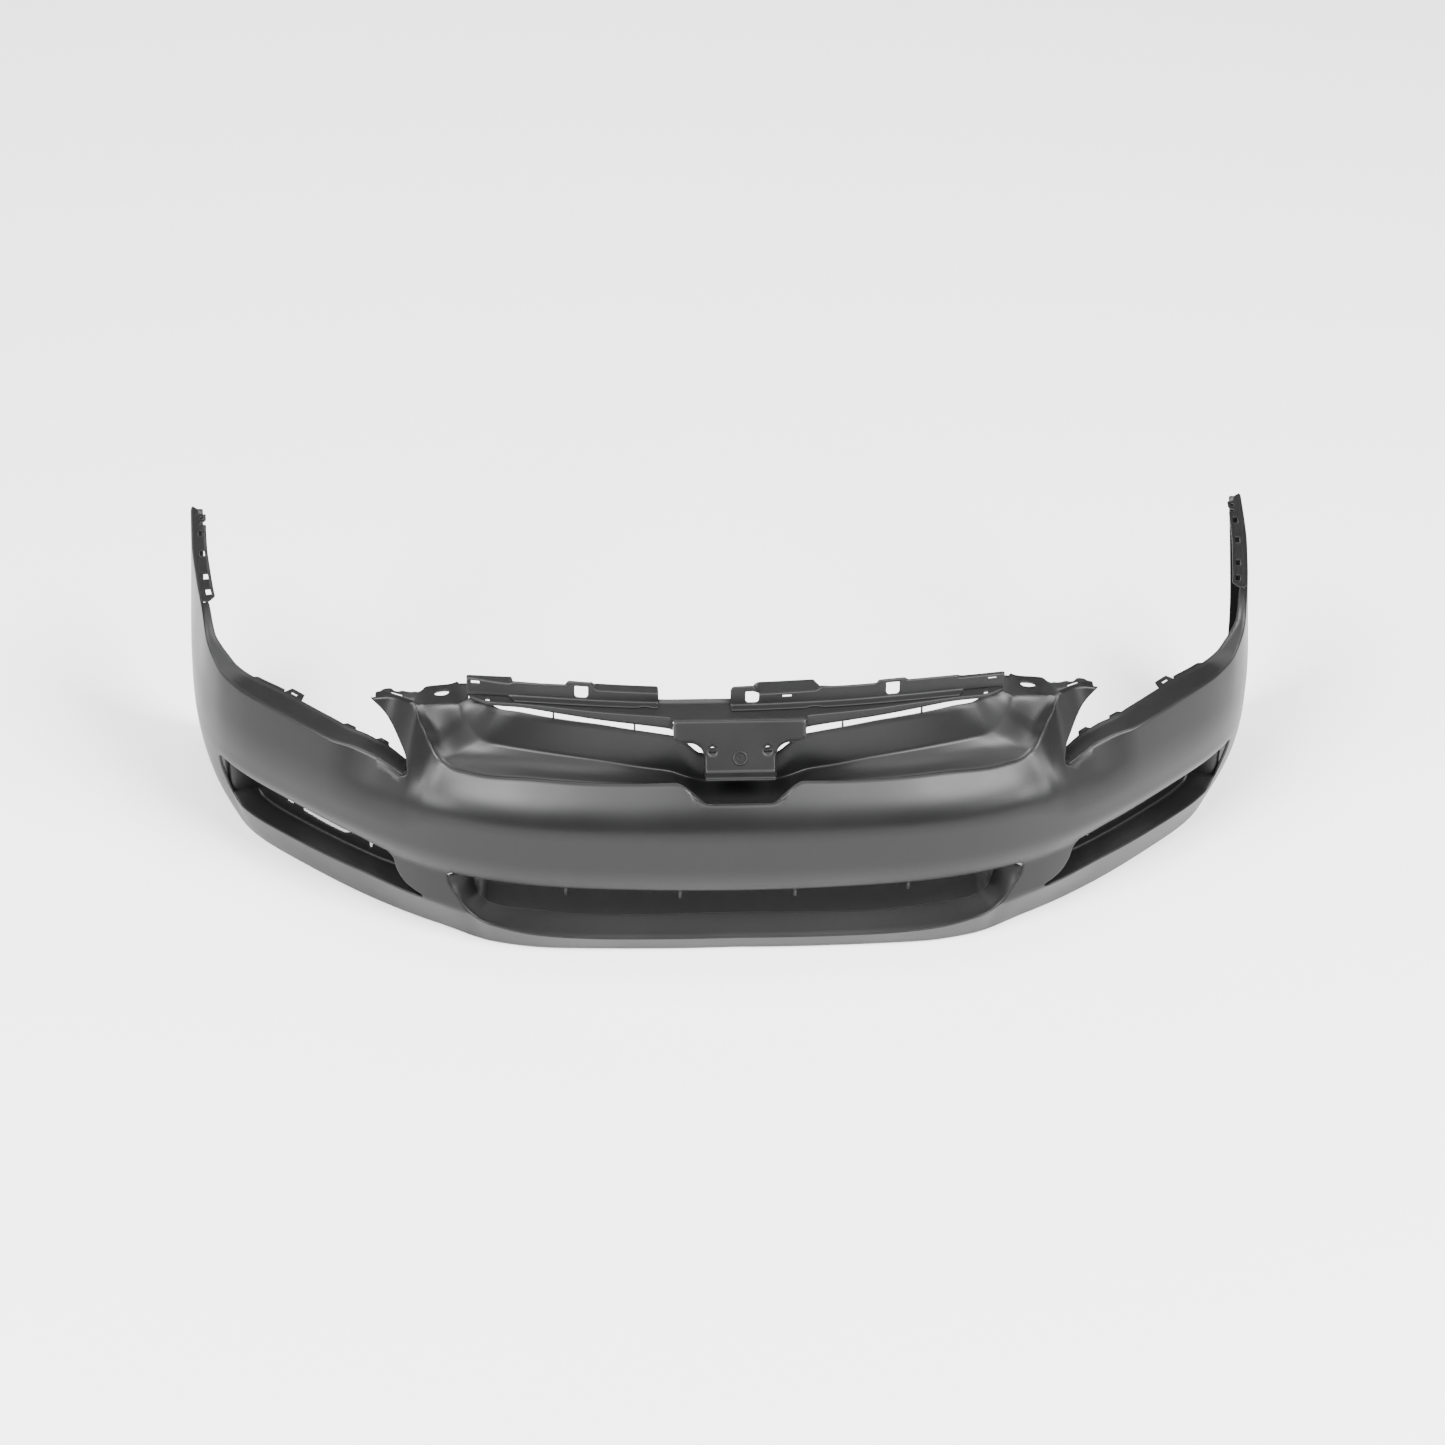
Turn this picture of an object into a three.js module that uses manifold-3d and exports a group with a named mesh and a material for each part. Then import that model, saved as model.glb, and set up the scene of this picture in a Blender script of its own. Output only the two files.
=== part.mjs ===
// Front bumper cover of a mid-size saloon: one large plastic moulding, built here as the regions that a
// toolmaker would name, each one a separate thin-walled solid. Millimetres, +Z up, the front faces -Y.
import * as THREE from 'three';
import Module from 'manifold-3d';

const wasm = await Module();
wasm.setup();

// Driving dimensions
const WALL = 3; // skin thickness
const INNER_WALL = 2.5; // thickness of the flanges and inner panels
const GAP = 0.4; // clearance between neighbouring solids
const OVERALL_DEPTH = 710.1; // front face to wing tip
const BELT_LOW = 190; // the skin is upright between the lower tuck and the shoulder
const SHOULDER_ROLL = 60; // height over which the shoulder turns back
const WING_SEAM_HEIGHT = 402; // level edge that meets the fender
const WING_TIP_STATION = 1334;
const ARCH_CENTRE = [1589, 120]; // wheel arch centre as [station, height]
const FENDER_FLANGE_WIDTH = 24;
const WINDOW_STATIONS = [1100, 1143, 1207, 1262]; // windows of the fender flange
const WINDOW_SIZE = [17, 10];
const ARCH_FLANGE_WIDTH = 20;
const LOWER_FLANGE_WIDTH = 25;
const LOWER_FLANGE_REACH = 420; // station where the lower flange ends
const LOWER_HOLE_STATIONS = [60, 200, 340];
const PLATE_TOP = [105, 417.5]; // emblem plate, upper edge as [y, z]
const PLATE_DOWN = [-0.64, -0.768]; // emblem plate, direction down its face as [y, z]
const PLATE_HOLE = [44.5, 46.7, 7.7]; // offset, distance down the plate, radius
const PLATE_COLLAR = [10, 20]; // collar behind each hole: outer radius, length
const PLATE_BOSS = [59.5, 11.7, 8.5, 2]; // distance down the plate, outer and inner radius, height
const BEAM_LEDGE = 418; // height of the beam's ledge
const RAIL_FOOT_DEPTH = 12; // the rails' feet reach this far forward over the ledge
const EDGE_START = WALL + 0.6; // flanges begin just inside the skin
const DEEP_START = WALL + 3.2; // the same where the skin bends sharply
const POST_OFFSETS = [94, 280];
const POST_WIDTH = 5.5;
const STRUT_OFFSETS = [168, 298];
const STRUT_WIDTH = 3;
const BAR_RETURN = [4.5, 34, 4]; // bar's lower return: from and to behind the bar's edge, and above it
const POCKET_DEPTH = 46;
const POCKET_DROP = 7; // floor of the fog lamp pocket below its rim
const BOW = 2e-5; // curvature given to a flat blank so that its facets stay apart while it is cut

// Plan line of the skin at belt height: half-width x against depth y behind the front
const PLAN_POINTS = [
  [0, 0], [200, 6.5], [372, 27], [485, 61], [625, 134], [750, 227], [845, 324], [885, 440], [897, 580],
  [898, 720],
];

const PRIMER = new THREE.MeshStandardMaterial({ color: 0x6b6b6b, roughness: 0.55, metalness: 0 });
const MOULDED = new THREE.MeshStandardMaterial({ color: 0x4a4a4a, roughness: 0.7, metalness: 0 });

const group = new THREE.Group();

// Curves -------------------------------------------------------------------------------------------------

// Monotone cubic through rows [t, a, b, ...]: the returned function gives [a, b, ...] at t.
function track(rows) {
  const width = rows[0].length - 1;
  const last = rows.length - 1;
  const secant = (i, k) => (rows[i + 1][k] - rows[i][k]) / (rows[i + 1][0] - rows[i][0]);
  const slope = (i, k) => {
    if (i === 0) return secant(0, k);
    if (i === last) return secant(last - 1, k);
    const before = secant(i - 1, k);
    const after = secant(i, k);
    return before * after <= 0 ? 0 : (2 * before * after) / (before + after);
  };
  const slopes = rows.map((row, i) => row.slice(1).map((_, k) => slope(i, k + 1)));
  return (t) => {
    const inside = Math.min(Math.max(t, rows[0][0]), rows[last][0]);
    let i = 0;
    while (i < last - 1 && inside > rows[i + 1][0]) i += 1;
    const span = rows[i + 1][0] - rows[i][0];
    const f = (inside - rows[i][0]) / span;
    const out = [];
    for (let k = 0; k < width; k += 1) {
      out.push(
        rows[i][k + 1] * (1 + 2 * f) * (1 - f) ** 2 +
          rows[i + 1][k + 1] * f * f * (3 - 2 * f) +
          span * (slopes[i][k] * f * (1 - f) ** 2 + slopes[i + 1][k] * f * f * (f - 1)),
      );
    }
    return out;
  };
}

// A single value against the station, the same on both sides of the centre line.
function along(rows) {
  const value = track(rows);
  return (s) => value(Math.abs(s))[0];
}

// Natural cubic spline through values at knots, with a given slope at the first knot.
function naturalSpline(knots, values, startSlope) {
  const n = knots.length;
  const h = knots.slice(1).map((k, i) => k - knots[i]);
  const diagonal = [2 * h[0]];
  const upper = [h[0]];
  const right = [6 * ((values[1] - values[0]) / h[0] - startSlope)];
  for (let i = 1; i < n - 1; i += 1) {
    const bend = 6 * ((values[i + 1] - values[i]) / h[i] - (values[i] - values[i - 1]) / h[i - 1]);
    const factor = h[i - 1] / diagonal[i - 1];
    diagonal.push(2 * (h[i - 1] + h[i]) - factor * upper[i - 1]);
    upper.push(h[i]);
    right.push(bend - factor * right[i - 1]);
  }
  const bends = Array(n).fill(0);
  for (let i = n - 2; i >= 0; i -= 1) bends[i] = (right[i] - upper[i] * bends[i + 1]) / diagonal[i];
  return (t) => {
    let i = 0;
    while (i < n - 2 && t > knots[i + 1]) i += 1;
    const a = (knots[i + 1] - t) / h[i];
    const b = (t - knots[i]) / h[i];
    const curve = ((a ** 3 - a) * bends[i] + (b ** 3 - b) * bends[i + 1]) * (h[i] ** 2 / 6);
    return a * values[i] + b * values[i + 1] + curve;
  };
}

const smoothStep = (low, high, t) => {
  const f = Math.min(Math.max((t - low) / (high - low), 0), 1);
  return f * f * (3 - 2 * f);
};

// The skin's outer surface, by station s (length along the plan line) and height h ------------------------

const planKnots = PLAN_POINTS.reduce((knots, point, i) => {
  if (i === 0) return [0];
  const previous = PLAN_POINTS[i - 1];
  return [...knots, knots[i - 1] + Math.hypot(point[0] - previous[0], point[1] - previous[1])];
}, []);
const planX = naturalSpline(planKnots, PLAN_POINTS.map((p) => p[0]), 1);
const planY = naturalSpline(planKnots, PLAN_POINTS.map((p) => p[1]), 0);

// Point at station s, moved inward from the plan line by depth, at height z.
function planPoint(s, depth, z) {
  const a = Math.abs(s);
  const step = 0.5;
  const dx = planX(a + step) - planX(Math.max(a - step, 0));
  const dy = planY(a + step) - planY(Math.max(a - step, 0));
  const length = Math.hypot(dx, dy);
  const x = planX(a) - (dy / length) * depth;
  const y = planY(a) + (dx / length) * depth;
  return new THREE.Vector3(s < 0 ? -x : x, y, z);
}

// Feature lines of the skin against the station
const barEdge = along([[0, 138], [500, 138], [588, 144], [655, 154], [772, 164], [903, 172], [950, 175]]);
const chinEdge = along([[0, 36], [191, 37], [335, 45], [406, 57], [451, 69], [526, 74], [850, 77], [904, 80],
  [940, 96]]);
const chinDepth = along([[0, 9], [191, 3], [335, -5], [406, -6], [440, 0], [526, 4], [653, 15], [904, 16],
  [960, 18]]);
const footDepth = along([[0, 24], [250, 17], [339, 13], [398, 14], [505, 30], [653, 38], [882, 44], [1100, 46],
  [1344, 36]]);
const barTuck = along([[0, 10], [500, 11], [600, 12], [700, 10], [800, 8], [900, 5], [960, 1]]);
const shoulderStart = along([[0, 250], [460, 250], [520, 238], [562, 215], [1344, 215]]);
const shoulderSlope = along([[0, 1.12], [300, 1.25], [460, 1.28], [504, 1.1], [530, 0.84], [548, 0.6],
  [566, 0.5], [620, 0.56], [660, 0.48], [707, 0.3], [850, 0.24], [913, 0.19], [960, 0.12], [1010, 0.09],
  [1060, 0.1], [1142, 0.085], [1224, 0.05], [1344, 0.02]]);

function shoulderDepth(s, h) {
  const rise = h - shoulderStart(s);
  if (rise <= 0) return 0;
  const slope = shoulderSlope(s);
  if (rise < SHOULDER_ROLL) return (slope * rise * rise) / (2 * SHOULDER_ROLL);
  return slope * (rise - SHOULDER_ROLL / 2);
}

function lowerDepth(s, h) {
  if (h >= BELT_LOW) return 0;
  const bar = barEdge(s);
  const chin = chinEdge(s);
  let front = 0;
  if (h >= bar) front = barTuck(s) * ((BELT_LOW - h) / (BELT_LOW - bar)) ** 2;
  else if (h >= chin) front = THREE.MathUtils.mapLinear(h, bar, chin, barTuck(s), chinDepth(s));
  else front = THREE.MathUtils.mapLinear(h, chin, 0, chinDepth(s), footDepth(s));
  const wing = footDepth(s) * ((BELT_LOW - h) / BELT_LOW) ** 2;
  return THREE.MathUtils.lerp(front, wing, smoothStep(925, 1010, Math.abs(s)));
}

const skinSurface = (s, h) => planPoint(s, shoulderDepth(s, h) + lowerDepth(s, h), h);

// Solids -------------------------------------------------------------------------------------------------

function solidFrom(positions, indices) {
  const corner = (i) => new THREE.Vector3().fromArray(positions, 3 * i);
  let volume = 0;
  for (let i = 0; i < indices.length; i += 3) {
    const [a, b, c] = [corner(indices[i]), corner(indices[i + 1]), corner(indices[i + 2])];
    volume += a.dot(b.cross(c));
  }
  const triangles = Uint32Array.from(indices);
  if (volume < 0) {
    for (let i = 0; i < triangles.length; i += 3) {
      [triangles[i + 1], triangles[i + 2]] = [triangles[i + 2], triangles[i + 1]];
    }
  }
  const vertProperties = Float32Array.from(positions);
  return new wasm.Manifold(new wasm.Mesh({ numProp: 3, vertProperties, triVerts: triangles }));
}

// Flat blank of a sheet, divided into columns and rows, from the outer face t = 0 to the inner face.
function blank(columns, rowsAt, thickness) {
  const rows = rowsAt(columns[0]).length;
  const count = columns.length * rows;
  const positions = [];
  for (const t of [0, thickness]) {
    for (const u of columns) {
      for (const v of rowsAt(u)) positions.push(u, v, t + BOW * (u * u + v * v));
    }
  }
  const indices = [];
  const quad = (a, b, c, d) => indices.push(a, b, c, a, c, d);
  const at = (i, j) => i * rows + j;
  for (let i = 0; i < columns.length - 1; i += 1) {
    for (let j = 0; j < rows - 1; j += 1) {
      const [a, b, c, d] = [at(i, j), at(i, j + 1), at(i + 1, j + 1), at(i + 1, j)];
      quad(a, b, c, d);
      quad(d + count, c + count, b + count, a + count);
    }
  }
  const border = [];
  for (let i = 0; i < columns.length; i += 1) border.push(at(i, 0));
  for (let j = 1; j < rows; j += 1) border.push(at(columns.length - 1, j));
  for (let i = columns.length - 2; i >= 0; i -= 1) border.push(at(i, rows - 1));
  for (let j = rows - 2; j > 0; j -= 1) border.push(at(0, j));
  border.forEach((a, i) => {
    const b = border[(i + 1) % border.length];
    quad(a, b, b + count, a + count);
  });
  return solidFrom(positions, indices);
}

// Upright cutter over a flat outline of [u, v] points.
function cutter(outline) {
  const shape = new THREE.Shape(outline.map(([u, v]) => new THREE.Vector2(u, v)));
  const geometry = new THREE.ExtrudeGeometry(shape, { depth: 140, bevelEnabled: false });
  geometry.translate(0, 0, -50);
  return solidOf(geometry);
}

// Solid of a three.js geometry, its shared corners merged.
function solidOf(geometry) {
  const source = geometry.getAttribute('position');
  const keys = new Map();
  const positions = [];
  const numbers = [];
  for (let i = 0; i < source.count; i += 1) {
    const point = [source.getX(i), source.getY(i), source.getZ(i)];
    const key = point.map((value) => value.toFixed(4)).join();
    if (!keys.has(key)) {
      keys.set(key, keys.size);
      positions.push(...point);
    }
    numbers.push(keys.get(key));
  }
  const indices = geometry.index ? Array.from(geometry.index.array, (i) => numbers[i]) : numbers;
  const kept = [];
  for (let i = 0; i < indices.length; i += 3) {
    const [a, b, c] = indices.slice(i, i + 3);
    if (a !== b && b !== c && a !== c) kept.push(a, b, c);
  }
  return solidFrom(positions, kept);
}

// A cut blank laid on its surface; t runs inward, against the surface normal, or along a given direction.
function formed(flat, surface, direction) {
  const { vertProperties, triVerts } = flat.getMesh();
  const positions = [];
  const step = 0.5;
  for (let i = 0; i < vertProperties.length; i += 3) {
    const [u, v, w] = vertProperties.slice(i, i + 3);
    const t = w - BOW * (u * u + v * v);
    const alongU = surface(u + step, v).sub(surface(u - step, v));
    const alongV = surface(u, v + step).sub(surface(u, v - step));
    const inward = direction ?? alongU.cross(alongV).normalize().negate();
    const point = surface(u, v).addScaledVector(inward, t);
    positions.push(point.x, point.y, point.z);
  }
  return solidFrom(positions, triVerts);
}

function mirrored(solid) {
  const { vertProperties, triVerts } = solid.getMesh();
  return solidFrom(vertProperties.map((value, i) => (i % 3 === 0 ? -value : value)), triVerts);
}

// Piece with its neighbour cut away, and the neighbour moved by the clearance in each direction too.
// Only the largest part is kept.
function clearOf(piece, neighbour, directions) {
  let left = piece.subtract(neighbour);
  for (const [x, y, z] of directions) left = left.subtract(neighbour.translate([GAP * x, GAP * y, GAP * z]));
  const parts = left.decompose();
  return parts.reduce((largest, part) => (part.volume() > largest.volume() ? part : largest));
}

// Surface through cross-sections [u, x, y, z, x, y, z, ...], their points joined by straight lines and the
// first row of points at v = 0, the next at v = pitch. The same on both sides of the centre line.
function ruled(sections, pitch) {
  const section = track(sections);
  const last = (sections[0].length - 1) / 3 - 1;
  return (u, v) => {
    const values = section(Math.abs(u));
    const i = Math.min(Math.max(Math.floor(v / pitch), 0), last - 1);
    const f = v / pitch - i;
    const [x, y, z] = [0, 1, 2].map((k) => THREE.MathUtils.lerp(values[3 * i + k], values[3 * i + 3 + k], f));
    return new THREE.Vector3(u < 0 ? -x : x, y, z);
  };
}

const disc = (u, v, radius, sides) =>
  Array.from({ length: sides }, (_, i) => {
    const angle = (2 * Math.PI * i) / sides;
    return [u + radius * Math.cos(angle), v + radius * Math.sin(angle)];
  });
const rectangle = (u0, v0, u1, v1) => [[u0, v0], [u1, v0], [u1, v1], [u0, v1]];

function addPart(name, solid, material) {
  const { vertProperties, triVerts } = solid.getMesh();
  const geometry = new THREE.BufferGeometry();
  geometry.setAttribute('position', new THREE.BufferAttribute(Float32Array.from(vertProperties), 3));
  geometry.setIndex(new THREE.BufferAttribute(Uint32Array.from(triVerts), 1));
  const part = new THREE.Mesh(geometry, material.clone());
  part.name = name;
  group.add(part);
}

function addPair(name, solid, material) {
  addPart(`${name}_right`, solid, material);
  addPart(`${name}_left`, mirrored(solid), material);
}

// Divides [start, end, count] ranges into one rising list.
function stations(ranges) {
  const list = [ranges[0][0]];
  for (const [start, end, count] of ranges) {
    for (let i = 1; i <= count; i += 1) list.push(start + ((end - start) * i) / count);
  }
  return list;
}

const bothSides = (half) => [...half.slice(1).map((s) => -s).reverse(), ...half];
const mirrorOutline = (half) => [...half.map(([u, v]) => [-u, v]).reverse(), ...half];
const sizes = (values) => () => values;

// Skin ---------------------------------------------------------------------------------------------------

// Upper outline from the centre line outward: emblem notch, grille edge, horn, headlamp corner, wing seam
const TOP_EDGE = [
  [52, 306], [64, 310], [84, 321], [98, 327], [112, 328], [231, 325], [349, 325], [456, 322], [500, 325],
  [520, 333], [533, 346], [545, 366], [556, 382], [568, 402], [577, 412], [660, 397], [620, 371], [590, 349],
  [572, 331], [563, 308], [568, 302.5],
];
const LAMP_EDGE = [
  [568, 302.5], [623, 312], [707, 324], [791, 330], [850, 333], [913, 337], [949, 345], [972, 355],
  [1004, 370], [1035, 388], [1060, 398], [1085, WING_SEAM_HEIGHT], [1400, WING_SEAM_HEIGHT],
];
const lampEdge = along(LAMP_EDGE);

function archEdge() {
  const radius = Math.hypot(ARCH_CENTRE[0] - WING_TIP_STATION, WING_SEAM_HEIGHT - ARCH_CENTRE[1]);
  const points = [];
  for (let h = WING_SEAM_HEIGHT; h > 0; h -= WING_SEAM_HEIGHT / 9) {
    points.push([ARCH_CENTRE[0] - Math.sqrt(radius ** 2 - (h - ARCH_CENTRE[1]) ** 2), h]);
  }
  points.push([ARCH_CENTRE[0] - Math.sqrt(radius ** 2 - ARCH_CENTRE[1] ** 2), 0]);
  return points;
}

const fogOpening = [
  ...stations([[588, 942, 8]]).map((s) => [s, barEdge(s)]),
  [950, 174], [946, 120], [938, 95], [925, 86],
  ...stations([[904, 526, 8]]).map((s) => [s, chinEdge(s)]),
  [556, 88], [577, 112],
];
const lowerOpening = mirrorOutline([
  ...stations([[40, 400, 7]]).map((s) => [s, chinEdge(s)]),
  [428, 62], [446, 74], [480, 124], [484, 138],
]);

function buildSkin() {
  const half = stations([[0, 430, 9], [430, 690, 10], [690, 880, 5], [880, 1070, 8], [1070, 1345, 5]]);
  const rowsAt = (s) => {
    const chin = chinEdge(s);
    const bar = barEdge(s);
    return [-5, chin / 2, chin, (chin + bar) / 2, bar, 190, 232, 256, 280, 302, 325, 352, 385, 425];
  };
  const outline = mirrorOutline([...TOP_EDGE, ...LAMP_EDGE.slice(1, -1), ...archEdge()]);
  let flat = blank(bothSides(half), rowsAt, WALL).intersect(cutter(outline));
  flat = flat.subtract(cutter(fogOpening));
  flat = flat.subtract(cutter(fogOpening.map(([s, h]) => [-s, h])));
  flat = flat.subtract(cutter(lowerOpening));
  return formed(flat, skinSurface);
}

const skin = buildSkin();
addPart('bumper_skin', skin, PRIMER);

// Grille recess ------------------------------------------------------------------------------------------

// Cross-sections of the gutter on the right half: [u, grille edge, bottom corner, top of the wall]
const RECESS_PITCH = 30;
const RECESS_SAG = [0, 3, -3]; // how far the middle of the light panel hangs below a straight line
const RECESS = [
  [0, 0, 8, 306, 0, 95, 300, 0, 110, 340],
  [52, 52, 8, 306, 50, 95, 301, 62, 110, 347],
  [66, 65, 10, 310, 68, 96, 304, 77, 110, 360],
  [86, 85, 30, 320, 90, 99, 310, 92, 109, 377],
  [103, 101, 48, 328, 112, 101, 318, 106, 108, 385],
  [135, 130, 52, 326, 145, 102, 324, 165, 115, 392],
  [230, 230, 62, 325, 229, 112, 335.5, 240, 129, 397],
  [338, 338, 78, 325, 320, 128, 341, 310, 146.5, 397],
  [436, 435, 100, 322, 386, 143, 344.5, 352, 160, 397],
  [478, 474, 120, 325, 413, 151, 350, 383, 171, 394.5],
  [505, 497, 132, 342, 435, 168, 368, 402, 181, 399.5],
  [528, 504, 140, 367, 444, 179, 381, 414, 190, 401],
  [560, 520, 155, 398, 449, 187, 390, 420, 198, 401],
  [576, 526, 164, 411, 452, 189, 392, 424, 200, 401],
];

function buildRecess() {
  const sections = RECESS.map(([u, ...points]) => {
    const middle = RECESS_SAG.map((sag, k) => (points[k] + points[k + 3]) / 2 + sag);
    return [u, ...points.slice(0, 3), ...middle, ...points.slice(3)];
  });
  const half = stations([[0, 52, 2], [52, 103, 6], [103, 436, 9], [436, 576, 10]]);
  const rows = [0, 1, 2, 3].map((i) => i * RECESS_PITCH);
  const flat = blank(bothSides(half), sizes(rows), INNER_WALL);
  return clearOf(formed(flat, ruled(sections, RECESS_PITCH)), skin, [[0, 1, 0], [-1, 0, 0], [1, 0, 0]]);
}

const recess = buildRecess();
addPart('grille_recess', recess, PRIMER);

// Upper beam and rails -----------------------------------------------------------------------------------

// Beam: lower front edge, front ledge, rear ledge and centre lip, as [x, y, z, y, z, ...]
const BEAM_PITCH = 20;
const BEAM = [
  [0, 107.6, 396, 107.6, BEAM_LEDGE, 152, BEAM_LEDGE, 156, 422],
  [108, 107.6, 396, 107.6, BEAM_LEDGE, 152, BEAM_LEDGE, 156, 422],
  [112, 115, 396, 115, BEAM_LEDGE, 152, BEAM_LEDGE, 156, 422],
  [130, 118, 397.5, 118, BEAM_LEDGE, 153.5, BEAM_LEDGE, 157, 422],
  [165, 122.5, 400, 122.5, BEAM_LEDGE, 156, BEAM_LEDGE, 160, 422],
  [224, 131, 403.5, 131, BEAM_LEDGE, 162, BEAM_LEDGE, 166, 422],
  [288, 143.5, 407.5, 143.5, BEAM_LEDGE, 169, BEAM_LEDGE, 173, 422],
  [352, 155.5, 412, 155.5, BEAM_LEDGE, 176.5, BEAM_LEDGE, 180, 422],
  [405, 163, 412.5, 163, BEAM_LEDGE, 183.5, BEAM_LEDGE, 187, 422],
  [420, 170.5, 412.5, 170.5, BEAM_LEDGE, 185, BEAM_LEDGE, 189, 422],
  [432, 178, 412.5, 178, BEAM_LEDGE, 187, BEAM_LEDGE, 191, 422],
];
const BEAM_END_SLOT = [399, 408, 23, 29]; // from and to beside the centre line, and across the ledge
const LIP_ENDS = [-129.5, -12.5]; // the centre lip lies between the two rails

// Rails: line of the foot and line of the face at a fixed height above it, as [x, y, y]
const RAIL_FACE = [
  [-440, 182.5, 192], [-383, 176, 184], [-319, 169, 173], [-287, 165, 169], [-223, 158, 161],
  [-165, 153, 155.5], [-130, 151, 153], [-12, 142, 145], [35, 143, 146], [100, 146, 150], [165, 150, 154],
  [263, 160, 165], [377, 175, 179], [440, 183.5, 188],
];
const RAIL_FACE_RISE = 19;
// Outlines over x and length along the cross-section: foot below 0, face above, top flange beyond the bend
const LEFT_RAIL = [
  [-436, 0], [-436, 30], [-366, 37], [-364, 24], [-279, 26], [-273, 33], [-237, 33], [-230, 36.5], [-130, 36],
  [-130, -12], [-139, -12], [-145, -9], [-157, -9], [-162, -12], [-360, -12], [-368, 0],
];
const RIGHT_RAIL = [
  [-12, -12], [-12, 28], [-8, 34], [25, 35], [33, 50], [123, 49], [131, 30], [150, 27], [223, 26], [229, 31],
  [270, 31], [276, 27], [356, 27], [434, 26], [434, 0], [366, 0], [360, -12], [136, -12], [130, -9], [114, -9],
  [108, -12],
];
// Heights of the bend between face and top flange
const LEFT_BENDS = [[-440, 24], [-369, 19], [-363, 22], [-279, 24], [-273, 31], [-237, 31], [-230, 18],
  [-126, 17]];
const RIGHT_BENDS = [[-16, 32], [25, 33], [34, 18], [125, 19], [137, 26], [150, 25], [223, 24], [229, 29],
  [270, 29], [276, 25], [356, 25], [362, 20], [440, 20]];
const U_WINDOWS = [-253, 22, 251];
const RAIL_SLOTS = [[-431, 15, -415, 21], [70, 10.5, 87, 16.5], [407, 13, 424, 17.5]];

function buildBeam() {
  const sections = BEAM.map(([x, ...r]) => [x, x, r[0], r[1], x, r[2], r[3], x, r[4], r[5], x, r[6], r[7]]);
  const surface = ruled(sections, BEAM_PITCH);
  const half = stations([[0, 108, 2], [108, 112, 1], [112, 165, 3], [165, 432, 9]]);
  let flat = blank(bothSides(half), sizes([0, 1, 2, 3].map((i) => i * BEAM_PITCH)), INNER_WALL);
  flat = flat.subtract(cutter(rectangle(-110, -9, 110, BEAM_PITCH)));
  flat = flat.subtract(cutter(rectangle(-450, 2 * BEAM_PITCH, LIP_ENDS[0], 70)));
  flat = flat.subtract(cutter(rectangle(LIP_ENDS[1], 2 * BEAM_PITCH, 450, 70)));
  const [from, to, front, rear] = BEAM_END_SLOT;
  flat = flat.subtract(cutter(rectangle(from, front, to, rear)));
  flat = flat.subtract(cutter(rectangle(-to, front, -from, rear)));
  return formed(flat, surface);
}

function buildRail(outline, bends) {
  const face = track(RAIL_FACE);
  const bend = track(bends);
  const surface = (x, v) => {
    const [low, high] = face(x);
    const up = THREE.MathUtils.clamp(v, 0, bend(x)[0]);
    const lean = ((high - low) * up) / RAIL_FACE_RISE;
    return new THREE.Vector3(x, low + lean + Math.min(v, 0) + Math.max(v - up, 0), BEAM_LEDGE + WALL + up);
  };
  const columns = [bends[0][0]];
  bends.slice(1).forEach(([x], i) => {
    const start = bends[i][0];
    const count = Math.ceil((x - start) / 30);
    for (let k = 1; k <= count; k += 1) columns.push(start + ((x - start) * k) / count);
  });
  const rowsAt = (x) => [-RAIL_FOOT_DEPTH - 2, 0, bend(x)[0], bend(x)[0] + 34];
  let flat = blank(columns, rowsAt, INNER_WALL).intersect(cutter(outline));
  for (const x of U_WINDOWS) {
    const window = [[x - 8, 3], [x + 8, 3], [x + 12, 8], [x + 12, 25], [x - 12, 25], [x - 12, 8]];
    flat = flat.subtract(cutter(window));
  }
  for (const slot of RAIL_SLOTS) flat = flat.subtract(cutter(rectangle(...slot)));
  return formed(flat, surface);
}

addPart('upper_beam', buildBeam(), MOULDED);
addPart('upper_rail_left', buildRail(LEFT_RAIL, LEFT_BENDS), MOULDED);
addPart('upper_rail_right', buildRail(RIGHT_RAIL, RIGHT_BENDS), MOULDED);

// Emblem plate -------------------------------------------------------------------------------------------

// Half outline: offset from the centre line and distance down the plate and along its lip
const PLATE = [[57, 101], [57, 60], [57.5, 52], [60, 44.5], [65, 39], [72, 34.5], [79, 33], [90, 33], [103, 29],
  [106, 26.5], [106, 0]];
const PLATE_LIP = 81; // where the lower lip turns forward
const PLATE_LIP_REACH = 16;

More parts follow.
